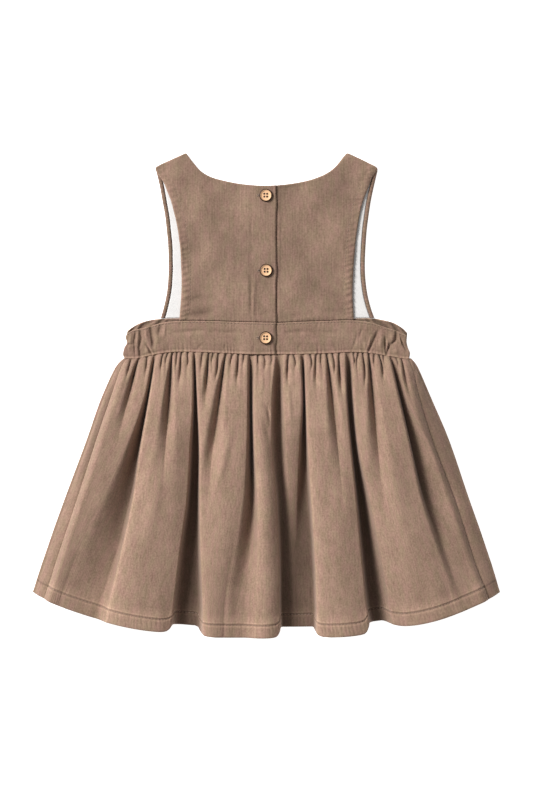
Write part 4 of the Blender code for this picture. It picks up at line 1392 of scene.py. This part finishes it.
def left_over(x, y, edge):
    sink = smooth((x - (LAP_EDGE - 5.0)) / 5.0) * LAP_SINK
    ridge = LAP_RIDGE * bell(x - LAP_EDGE + LAP_RIDGE_IN, 0.9)
    return left_under(x, y) + BACK - sink + ridge + bodice_relief(x, y, edge) + rounded(edge, *TURNED)


def right_over(x, y, edge):
    hidden = smooth((x - LAP_EDGE) / 2.0)
    return BACK_Z + BACK + bodice_relief(x, y, edge) * hidden + rounded(edge, *TURNED)


print("the placket's edge lies", round(float(left_under(LAP_EDGE, 0.0)), 1), "mm up")

# %% The two halves of the back bodice
BODICE_STEP = 1.55
FOOT_IN = 1.5  # the waist line starts this far in from the armhole's last point

lap_y = np.arange(78.0, 208.0, 4.0)
lap_line = np.column_stack([LAP_EDGE + 0.30 * np.sin(lap_y / 9.0) + 0.18 * np.sin(lap_y / 3.7), lap_y])
left_foot = waist_line(left_arm[-1][0] + FOOT_IN, LAP_EDGE, "back_top")
right_foot = waist_line(right_arm[-1][0] - FOOT_IN, UNDER_EDGE, "back_top")
left_outline = np.vstack([neck_line(LAP_EDGE, -80.0), SHOULDER_LEFT[::-1], left_arm, left_foot, lap_line])
right_outline = np.vstack([neck_line(UNDER_EDGE, 80.0), SHOULDER_RIGHT, right_arm, right_foot])
back_left = cut_shell(
    "back_bodice_left_cloth", left_outline, left_under, left_over, cord, BODICE_STEP, bodice_tone
)
back_right = cut_shell(
    "back_bodice_right_cloth", right_outline, BACK_Z, right_over, cord, BODICE_STEP, bodice_tone
)
stand_for(back_left)
stand_for(back_right)

# %% [markdown]
# ## Front bodice, lining and facings
#
# The front lies face down on the table. What shows of it is the inside of its armholes: a narrow
# facing of corduroy, turned in, and beside it the white lining. The rest is under the back, so
# it is cut with the same shoulders and kept plain.

# %% The outline of the front
FRONT_NECK_DROP = 56.0
FACING = 4.0  # how wide the facing shows
LINING_WAVES = [Wave(*row) for row in ((23, 80, 0.3, 0.10), (14, 60, 2.0, 0.07), (9, 100, 1.0, 0.04))]


def front_neck(inset, count=61):
    angles = np.linspace(0.0, np.pi, count)
    x = -(80.0 + inset) * np.cos(angles)
    return np.stack([x, 241.0 - inset * 0.6 - (FRONT_NECK_DROP + inset) * np.sin(angles) ** 0.7], axis=1)


def front_outline(inset, neck_inset, left_shoulder, right_shoulder):
    left = armhole_line(FRONT_ARMHOLE, "left", inset)
    right = armhole_line(FRONT_ARMHOLE, "right", inset)
    foot = waist_line(right[-1][0] - FOOT_IN, left[-1][0] + FOOT_IN, "front_top")
    return np.vstack([front_neck(neck_inset), right_shoulder, right, foot, left[::-1], left_shoulder])


front_cut = front_outline(0.0, 0.3, SHOULDER_LEFT[:-1], SHOULDER_RIGHT)
lining_cut = front_outline(
    FACING + SEAM, 3.0, [(-103.5, 227.5), (-93.5, 232.5)], [(93.5, 232.5), (103.5, 227.5)]
)
print("front outline:", len(front_cut), "points, lining:", len(lining_cut))

# %% Front bodice and lining
PLAIN_RINGS = (0.5, 1.2)


def front_over(x, y, edge):
    return FRONT_SHELL + rounded(edge, 1.2, 0.9)


def lining_over(x, y, edge):
    return LINING_Z + LINING + waved(LINING_WAVES, x, y) + rounded(edge, 0.8, 0.5)


front = cut_shell("front_bodice_cloth", front_cut, 0.0, front_over, cord, 3.4, None, PLAIN_RINGS)
lining = cut_shell("front_lining_cloth", lining_cut, LINING_Z, lining_over, cotton, 2.2, None, PLAIN_RINGS)
stand_for(front)
stand_for(lining)

# %% The armhole facings
FACING_STEPS = 9
FACING_RIB = 3.1  # the facing is cut on the bias, and its ribs cross it at this spacing
facings = []
for name, sign in SIGNS.items():
    outer = spaced(armhole_line(FRONT_ARMHOLE, name), 1.5)
    inner = np.column_stack([armhole(FRONT_ARMHOLE, name, outer[:, 1]) + sign * FACING, outer[:, 1]])
    run = lengths(outer)
    grids = []
    for t in np.linspace(0.0, 1.0, FACING_STEPS):
        plan = mix(outer, inner, t)
        roll = math.sqrt(max(0.0, 1.0 - (2 * t - 1) ** 2))
        slant = np.sin(2 * np.pi * run / FACING_RIB + 3.0 * t)
        top = LINING_Z + 0.55 + (FRONT_SHELL + 0.25) * roll + 0.24 * slant * roll
        foot = np.full(len(plan), LINING_Z)
        # the tone: a little darker overall, lighter on the bias ribs and darker between them, a painted
        # highlight and shade that follow their relief
        place = (run * 0.7 + t * 2.3, run * 0.7 - t * 2.3, 0.84 + 0.14 * slant)
        grids.append([np.column_stack([plan, top]), np.column_stack([plan, foot]), np.column_stack(place)])
    grids = np.array(grids[::-1] if name == "right" else grids).transpose(1, 2, 0, 3)
    piece = grid_shell(f"armhole_facing_{name}_cloth", *grids, cord)
    stand_for(piece)
    facings.append((piece, float(run[-1])))

# %% [markdown]
# ## The waistband
#
# The band is a casing: two layers of cloth with elastic between them at both sides. The elastic has drawn
# those parts into upright creases. Along the top runs a row of edge stitching, and at the bottom the
# skirt's seam makes a firm ridge. The colour is lighter along that ridge and the band's top edge, painted
# shade darkens the stitched groove and the creases' troughs, and painted highlight lightens their ridges.

# %% Creases of the waistband
BAND_CREASES = [Crease(*row) for row in (
    (-116.2, 68.5, -114.4, 55, 1.5, -2.4), (-114.4, 56, -113.6, 47, 1.3, -2.5),
    (-120.5, 50, -114, 38.5, 0.9, -2), (-118.9, 50, -112.4, 39, 0.8, 1.2),
    (-126.7, 64.5, -125.5, 55, 1.1, -2.2), (-125.5, 56, -127.6, 46, 1, -2),
    (-127.6, 47, -125.8, 36.5, 1.1, -2.4), (-131, 62.5, -132.7, 51, 0.9, -1.7),
    (-132.7, 52, -131.4, 40, 0.9, -1.5), (-139.5, 50, -134.5, 49.6, 1.1, -1.6),
    (-105.8, 69, -107.6, 60, 1.9, -1.6), (-101.5, 70, -102.6, 57, 1.1, 0.9),
    (-121.5, 65, -119.5, 54, 1.7, 1.5), (-120, 46, -119, 41, 1.8, 1.2), (-129, 60, -129.6, 50, 1.1, 1.2),
    (-136, 60, -137, 44, 1.4, 1.1), (-110, 60, -108.5, 50, 2.2, 0.9), (-98.5, 50, -97.5, 42.5, 1, -0.7),
    (111.6, 63.5, 107, 52, 1.3, -2), (107, 53, 102.2, 42, 1, -2.2), (104.9, 58, 100.4, 44, 1.1, 1.1),
    (119, 57, 119.2, 41.5, 0.9, -2.1), (123.4, 50, 119.8, 37.6, 1, -2.7), (121.2, 53, 120.6, 45, 0.8, 1.3),
    (130.2, 63, 129.4, 53, 1.2, -2.3), (129.6, 54, 124.6, 49.2, 1.1, -2), (132.4, 60, 134.6, 50, 0.8, 1.2),
    (134.2, 55, 140.2, 43, 0.9, -1.8), (139, 52, 141.5, 42, 0.8, -1.2), (115.2, 60, 113.8, 46, 2.4, 1.3),
    (126.2, 60, 125.2, 54, 2.2, 1.4), (128.6, 46, 130.4, 40, 2.4, 1.2), (96.5, 66, 92.5, 56, 1.2, -0.9),
    (91, 60, 88, 48, 1.1, -0.7), (99.6, 52, 98, 44, 1, 0.7), (-92, 61.5, -62, 63.5, 2.4, -1.3),
    (-60, 62.5, -22, 61, 2.2, -0.9), (18, 61, 44, 63, 2.3, -1.1), (44, 62.5, 74, 61, 2.2, -0.9),
    (-80, 52, -30, 50, 3, 0.48), (20, 51, 72, 52, 3, 0.48), (-70, 44.5, -64, 50, 1.44, -0.52),
    (-44, 42.5, -41, 49, 1.2, -0.45), (-13, 42, -12, 50, 1.12, -0.52), (31, 43, 34, 50, 1.36, -0.45),
    (70, 44, 67, 52, 1.44, -0.52), (86, 45, 88, 52, 1.28, -0.45),
)]
END_LEFT = [  # a height, and how far out the band's end is there
    (63, 0), (60, -0.2), (57, -0.8), (53, 0.9), (50.5, 1.5), (47, -0.1), (41, -0.5), (37.5, 0.6),
    (35.5, 2.4), (34, 3),
]
END_RIGHT = [(61, 0), (60, 0), (53, -1.9), (47, -1.7), (41, -0.6), (37, -1.8), (34, -3.2)]
END_LAP = [(74, 0.3), (66, -0.2), (58, 0.4), (52, 0.1), (47, -1), (42, -0.6), (38, 0.2)]
print("creases on the waistband:", len(BAND_CREASES))

# %% The relief and the shade of the waistband
BAND_EDGE_STITCH = 2.0  # the band's stitch line, down from its top edge
CASING_CROWN = 0.35  # how much thicker the casing is in its middle


def band_relief(x, top, foot, level_at):
    """The band's own relief at each place: creases, puckers, edge stitching and the seam ridge."""
    from_top, from_foot = top - level_at, level_at - foot
    strength = limited(0.25 + 0.9 * np.sin(x / 13.0 + 1.0) * np.sin(x / 4.9))
    low = np.sin(uneven(x, 4.1, (1.7, 6.1), (1.2, 2.9)) + 0.12 * from_foot) * bell(from_foot, 8.5)
    high = np.sin(uneven(x, 3.7, (1.4, 5.2))) * bell(from_top - 4.5, 2.8)
    drawn = (0.42 * low + 0.14 * high) * strength
    stitched = -0.34 * bell(from_top - BAND_EDGE_STITCH, 0.55)
    ridge = 0.55 * bell(from_foot - 1.0, 0.9) - 0.40 * bell(from_foot - 3.0, 0.8)
    crown = CASING_CROWN * np.sin(np.pi * limited(from_foot / (top - foot)))
    return creased(BAND_CREASES, x, level_at) + (drawn + stitched + ridge + crown) * smooth(from_foot / 0.8)


def band_tone(from_top, from_foot):
    # lighter along the seam ridge and the top edge, and painted shade in the stitched groove
    lighter_edges = bell(from_foot - 0.9, 0.8) * 0.42 + bell(from_top, 0.9) * 0.30
    return 0.97 + lighter_edges - 0.22 * bell(from_top - BAND_EDGE_STITCH, 0.5)


def pleats(x, level_at):
    """The folds of the band's front, which shows only beside the armholes."""
    return np.sin(uneven(x, 9.5, (1.6, 5.3)) + 2 * np.pi * np.sign(x) * 0.9 * level_at / 9.5)


print("shade at the band's top edge and middle:", band_tone(np.array([0.0, 16.0]), 16.0).round(2))

# %% A length of the waistband
BAND_ROWS = [0.0, 0.35, 0.8, 1.3, 1.7, 2.0, 2.4, 3.0, 3.8, 4.8, 6.0]
BAND_FOOT_ROWS = [6.0, 5.0, 4.0, 3.3, 2.7, 2.0, 1.4, 0.9, 0.4, 0.0]
BAND_INNER_ROWS = 22
BAND_TURNED = (1.2, 1.1)
END_REACH = 14.0  # how far from its end the band's uneven edge can be felt
GATHERED_FROM = {True: 92.0, False: 88.0}  # how far out the elastic begins, in the front and in the back

BAND_FROM, BAND_TO = BAND_SECTIONS[0].top_x, BAND_SECTIONS[-1].top_x


def band_plan(start, end, top_edge, step):
    """The band's points seen from above: where they are across, how high, and its two edges."""
    xs = np.linspace(start, end, int((end - start) / step) + 2)
    feet = through(column_of(BAND_SECTIONS, "top_x"), column_of(BAND_SECTIONS, "bottom_x"), xs)
    tops, foots = band_edge(xs, top_edge), band_edge(xs, "bottom")
    shares = [(i + 1) / (BAND_INNER_ROWS + 1) for i in range(BAND_INNER_ROWS)]
    rows = [tops - d for d in BAND_ROWS]
    rows += [mix(tops - BAND_ROWS[-1], foots + BAND_FOOT_ROWS[0], share) for share in shares]
    rows += [foots + d for d in BAND_FOOT_ROWS]
    levels = np.array(rows)
    x = mix(xs, feet, (tops - levels) / (tops - foots))
    ends = [(END_LEFT, BAND_FROM), (END_RIGHT, BAND_TO)] + [(END_LAP, LAP_EDGE)] * (end == LAP_EDGE)
    for table, end_x in ends:
        heights, outs = np.array(table, float).T
        near = limited(1.0 - np.abs(xs - end_x) / END_REACH)
        x = x + through(heights, outs, levels) * near
    return x, levels, tops, foots


def band_shell(name, start, end, top_edge, under_at, plain=False):
    """One length of the waistband. Returns the piece and its upper grid."""
    x, levels, tops, foots = band_plan(start, end, top_edge, 0.9 if plain else 0.7)
    base = under_at(x)
    edge = np.minimum(tops - levels, levels - foots)
    sideways = np.minimum(x - x[:, :1], x[:, -1:] - x)
    ends = smooth((np.abs(x) - GATHERED_FROM[plain]) / 16.0)
    z = base + BAND_T + rounded(edge, *BAND_TURNED) + rounded(sideways, *BAND_TURNED)
    tone = band_tone(tops - levels, levels - foots)
    if plain:
        pleat = pleats(x, levels)
        z = z + 0.9 * pleat * ends * smooth(edge / 1.2)
        # the front band's strip: painted shadow under the back band, painted highlight on its pleats and
        # along its top edge
        tone = tone * (0.62 + 0.30 * smooth(0.5 + pleat) * ends + 0.42 * bell(tops - levels, 0.9))
    else:
        z = z + band_relief(x, tops, foots, levels) * smooth(sideways / 1.0 + 0.3) * smooth(edge / 0.5 + 0.2)
        # the colour follows the creases: painted shade in their troughs, painted highlight on their ridges
        tone = tone * (1.0 + ends * np.clip(0.13 * creased(BAND_CREASES, x, levels), -0.36, 0.20))
    if end == LAP_EDGE:
        z = z - 1.2 * smooth(1.0 - (x[:, -1:] - x) / 4.0)
    upper = np.stack([x, levels, np.maximum(z, base + 0.4)], axis=-1)
    under = np.stack([x, levels, base], axis=-1)
    return grid_shell(name, upper, under, np.stack([x, levels, tone], axis=-1), cord), upper


print("a length of the band has", len(BAND_ROWS) + BAND_INNER_ROWS + len(BAND_FOOT_ROWS), "rows")

# %% The three lengths of the waistband
band_front, _ = band_shell(
    "waistband_front_cloth", BAND_FROM, BAND_TO, "front_top", lambda x: 0.0 * x, plain=True
)
band_left, left_grid = band_shell(
    "waistband_back_left_cloth", BAND_FROM, LAP_EDGE, "back_top", lambda x: lapped(BAND_Z, BAND_T + SEAM, x)
)
band_right, right_grid = band_shell(
    "waistband_back_right_cloth", UNDER_EDGE, BAND_TO, "back_top", lambda x: BAND_Z + 0.0 * x
)
for piece in (band_front, band_left, band_right):
    stand_for(piece)

# %% [markdown]
# ## The sewing
#
# Three kinds of seam show their thread: the hem, the top edge of the waistband, and the armholes. Each
# line of stitches follows the mesh that it is sewn through.

# %% Hem and waistband stitches
HEM_THREAD_UP = 0.22  # how far the thread stands above the bottom of its groove
BAND_THREAD_UP = (0.0, 0.0, 0.14)

hem_row = ROWS_ABOVE + HEM_ROWS.index(HEM)
hem_points = np.array([v.co for v in skirt_back.data.vertices])[hem_row * COLUMNS :][:COLUMNS]
hem_line = hem_points / MM - SHIFT + (0.0, 0.0, HEM_THREAD_UP)
hem_front = front_upper[front_rows.index(hem_row)]
edge_row = BAND_ROWS.index(BAND_EDGE_STITCH)
visible_from = int(np.searchsorted(right_grid[edge_row, :, 0], LAP_EDGE + 1.0))
right_line = right_grid[edge_row, visible_from:] + BAND_THREAD_UP
sewing = {
    "skirt_back": [add_stitches("hem_stitches_back", hem_line, thread)],
    "skirt_front": [
        add_stitches("hem_stitches_left", hem_front[1:SHOWN], thread),
        add_stitches("hem_stitches_right", hem_front[-SHOWN:-1], thread),
    ],
    "band_left": [add_stitches("band_stitches_left", left_grid[edge_row] + BAND_THREAD_UP, thread)],
    "band_right": [add_stitches("band_stitches_right", right_line, thread)],
}
print("hem line", round(float(lengths(hem_line)[-1])), "mm")

# %% Armhole stitches
INSIDE = 9.0  # any distance from the edge beyond its rounding
THREAD_UP = 0.12

ys = np.arange(80.0, 212.0, 1.0)
for name, over in (("left", left_over), ("right", right_over)):
    xs = armhole(BACK_ARMHOLE, name, ys) + SIGNS[name] * PUCKER_IN
    line = np.column_stack([xs, ys, over(xs, ys, INSIDE) + THREAD_UP])
    sewing["back_" + name] = [add_stitches("armhole_stitches_" + name, line, thread)]
print("sewn lines:", sum(len(lines) for lines in sewing.values()))

# %% [markdown]
# ## The buttons
#
# Each button is turned from pale wood: a raised rim, a dished middle and four drilled holes. The rim's
# outer edge and the button's side are dark, partly toasted wood and partly painted shadow where the
# button stands on the cloth, and the walls of the holes are painted dark as shade. The solids already
# have the right shape, but with few sides, so each is turned again with fine steps, drilled with a
# Boolean, and sewn on with thread.

# %% Wood
GRAIN_HEIGHT = 0.00005
# the dark of the rim and the side is toasted wood and painted shadow; it is also painted shade on the walls
# of the holes
TOASTED_AND_SHADED = (0.034, 0.014, 0.006, 1.0)
WOOD = [(0.0, (0.50, 0.275, 0.140)), (1.0, (0.80, 0.515, 0.305))]


def button_wood(name):
    made, shader, start = new_material(name, Specular_IOR_Level=0.25)
    cloth, _, _, rim = cloth_wires(start)
    grain = cloth.times((260.0, 1500.0, 0.0)).noise(1.0, 3.0, 0.6)
    pore = cloth.times((1400.0, 1400.0, 0.0)).noise(1.0, 2.0)
    face = start.node("ShaderNodeValToRGB", {"stops": WOOD}, {"Fac": 0.2 + 0.55 * grain + 0.25 * pore})
    colour = rim.between(face, TOASTED_AND_SHADED)
    connect(shader, Base_Color=colour, Roughness=0.42 + 0.2 * pore, Normal=(grain * GRAIN_HEIGHT).bump())
    return made


wood = button_wood("button_wood")
print("material", wood.name, "with", len(wood.node_tree.nodes), "nodes")

# %% A turned and drilled button
BUTTON_T = 2.6
HOLE_R = 1.08
HOLE_AT = 1.42  # how far each hole is from the middle, both across and along
ROUND_SIDES = 72
HOLE_SIDES = 20
PROFILE = [  # a radius, and how high the wood is there
    (0, 0), (4.7, 0), (5.6, 0.15), (6.1, 0.45), (6.4, 0.8), (6.5, 1.15), (6.5, 1.6), (6.42, 1.95),
    (6.2, 2.3), (5.9, 2.5), (5.55, 2.6), (5.2, 2.55), (4.9, 2.35), (4.6, 2.05), (4.3, 1.8), (3.8, 1.68),
    (3, 1.62), (1.6, 1.60), (0, 1.60),
]
X_AXIS, Y_AXIS = np.array([1.0, 0.0, 0.0]), np.array([0.0, 1.0, 0.0])


def drill_bits(name, place, level):
    """Four upright cylinders, one for each hole."""
    points, faces = [], []
    for sx in (-1, 1):
        for sy in (-1, 1):
            first = len(points)
            centre = (place[0] + sx * HOLE_AT, place[1] + sy * HOLE_AT)
            ends = [np.array([*centre, z]) for z in (level - 1.0, level + BUTTON_T + 1.0)]
            add_tube(points, faces, ends, (HOLE_R, HOLE_R), X_AXIS, Y_AXIS, HOLE_SIDES)
            faces.append([first + k for k in reversed(range(HOLE_SIDES))])
            faces.append([first + HOLE_SIDES + k for k in range(HOLE_SIDES)])
    return add_object(name, points, faces)


def turned_button(name, place, level):
    """Turns the profile round the button's axis, then drills it."""
    axis = [np.array([*place, level + z]) for _, z in PROFILE]
    radii = [r for r, _ in PROFILE]
    points = [axis[0]]
    faces = [(0, 1 + (i + 1) % ROUND_SIDES, 1 + i) for i in range(ROUND_SIDES)]
    add_tube(points, faces, axis[1:-1], radii[1:-1], X_AXIS, Y_AXIS, ROUND_SIDES)
    top, ring = len(points), len(points) - ROUND_SIDES
    points.append(axis[-1])
    faces += [(ring + i, ring + (i + 1) % ROUND_SIDES, top) for i in range(ROUND_SIDES)]
    made = add_object(name, points, faces)
    cutter = drill_bits(name + "_drill", place, level)
    cut = made.modifiers.new("holes", "BOOLEAN")
    cut.operation, cut.solver, cut.object = "DIFFERENCE", "EXACT", cutter
    drilled = bpy.data.meshes.new_from_object(made.evaluated_get(bpy.context.evaluated_depsgraph_get()))
    made.modifiers.clear()
    made.data = drilled
    bpy.data.objects.remove(cutter)
    return made


print("a button is", 2 * max(r for r, _ in PROFILE), "mm wide and", BUTTON_T, "mm thick")

# %% Three buttons with their thread
RIM_FROM = 5.1  # the dark part of the upper face, toasted wood and painted shadow, begins at this radius
TOASTED_AND_SHADED_BELOW = 1.2  # and the button's side is dark up to this height, toasted wood and painted shadow
DISH_R = 3.2
DISH = 1.55  # below this height, inside DISH_R, is the wall of a hole
SHARP = math.radians(40)  # two faces that meet at more than this keep a hard edge
# the thread lies below the dished face, so that it shows only through the holes
THREAD_LEVEL = 0.95

# near-black thread: partly the thread that passes through the holes, partly painted shade in the holes and,
# along the buttonholes, in the slits
thread_and_shade = sewing_thread("button_thread", (0.006, 0.003, 0.002), (0.014, 0.007, 0.004))
for name, place in BUTTONS.items():
    level_z = float(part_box(name)[0][2]) / MM
    piece = turned_button(name + "_turned", place, level_z)
    points = np.array([v.co for v in piece.data.vertices]) / MM - SHIFT
    radius = np.hypot(points[:, 0] - place[0], points[:, 1] - place[1])
    height = points[:, 2] - level_z
    toasted_and_shaded = limited(smooth((radius - RIM_FROM) / 0.45) + (height < TOASTED_AND_SHADED_BELOW))
    # the walls of the holes are coloured dark: painted shade
    toasted_and_shaded = np.where((radius < DISH_R) & (height < DISH), 1.0, toasted_and_shaded)
    finish_piece(piece, wood, np.column_stack([points[:, :2], toasted_and_shaded]))
    piece.data.set_sharp_from_angle(angle=SHARP)
    stand_for(piece)
    for row, dy in enumerate((-HOLE_AT, HOLE_AT)):
        line = [(place[0] + t * HOLE_AT, place[1] + dy, level_z + THREAD_LEVEL) for t in (-1.9, 0.0, 1.9)]
        add_stitches(f"{name}_thread_{row}", line, thread_and_shade, stitch=4.6, gap=0.1, radius=0.55)

# %% [markdown]
# ## Buttonholes
#
# A buttonhole is a slit with a close satin stitch round it. Only its left end shows beside each button.

# %% Buttonholes
SLIT_FROM, SLIT_TO = -8.9, -4.0  # the part of a buttonhole that is built, from its button's middle
SATIN_R = 0.21
SATIN_SPACING = 0.09  # as a share of the slit's length
SLIT_UP = 0.28  # how far the dark strand that paints the slit's shade lies above the satin stitches' foot
SATIN_SECTIONS = [Section(*row) for row in (
    (-0.85, 0.2, -0.3), (-0.5, 0.9, 0.08), (0.0, 1.0, 0.16), (0.5, 0.9, 0.08), (0.85, 0.2, -0.3),
)]
BAND_TOP = BAND_Z + 2 * BAND_T + SEAM + 0.42  # the band's upper side at the placket, above its crown
Z_AXIS = np.array([0.0, 0.0, 1.0])

for name, place in BUTTONS.items():
    start_x, end_x = place[0] + SLIT_FROM, place[0] + SLIT_TO
    points, faces = [], []
    for t in np.arange(0.0, 1.0, SATIN_SPACING):
        for lift in (-0.8, 0.8):
            x, y = mix(start_x, end_x, t), place[1] + lift
            z = BAND_TOP if name == "button_waist" else float(left_over(x, y, INSIDE)) + THREAD_UP
            middles = [np.array([x, y + section.place, z + section.rise]) for section in SATIN_SECTIONS]
            radii = [SATIN_R * section.size for section in SATIN_SECTIONS]
            add_tube(points, faces, middles, radii, X_AXIS, Z_AXIS)
    buttonhole = name.replace("button", "buttonhole")
    bar = add_piece(buttonhole, points, faces, thread)
    # a dark strand along the slit: painted shade in its gap
    slit = [(t, place[1], z + SLIT_UP) for t in (start_x + 0.6, end_x)]
    add_stitches(buttonhole + "_slit", slit, thread_and_shade, stitch=4.0, gap=0.1, radius=0.42)
    print(bar.name, "has", len(faces), "faces")

# %% [markdown] ## What each sheet was before it was sewn Every piece of cloth is printed
# with the size that it was cut to.

# %% Sheets
BAND_CUTS = {"front": (0.34, 0.040), "left": (0.185, 0.036), "right": (0.190, 0.036)}  # before the elastic
FACING_CUT = 0.012
FACING_SHOWN = 0.0036


def declare(piece, held, flat=None, area=None, sewn=()):
    points = np.array([v.co for v in piece.data.vertices])
    size = points.max(axis=0) - points.min(axis=0)
    width, length = flat or (float(size[0]), float(size[1]))
    list(sewn)
    share = surface(piece) / (area or width * length)
    print(f"{piece.name:28s} {width:.3f} x {length:.3f} m  {held:9s} share {share:.2f}")


front_cloth = (front_width * MM, front_length * MM)
back_cloth = (cut_width * MM, cut_length * MM)
declare(skirt_front, "gathered", front_cloth, sewn=sewing["skirt_front"])
declare(skirt_back, "gathered", back_cloth, sewn=sewing["skirt_back"])
declare(front, "laid", area=surface(front))
declare(lining, "laid", area=surface(lining))
for piece, run in facings:
    area = max(surface(piece), FACING_SHOWN * run * MM)
    declare(piece, "folded", (FACING_CUT, run * MM), area=area)
declare(back_left, "laid", area=surface(back_left), sewn=sewing["back_left"])
declare(back_right, "laid", area=surface(back_right), sewn=sewing["back_right"])
declare(band_front, "gathered", BAND_CUTS["front"])
declare(band_left, "gathered", BAND_CUTS["left"], sewn=sewing["band_left"])
declare(band_right, "gathered", BAND_CUTS["right"], sewn=sewing["band_right"])
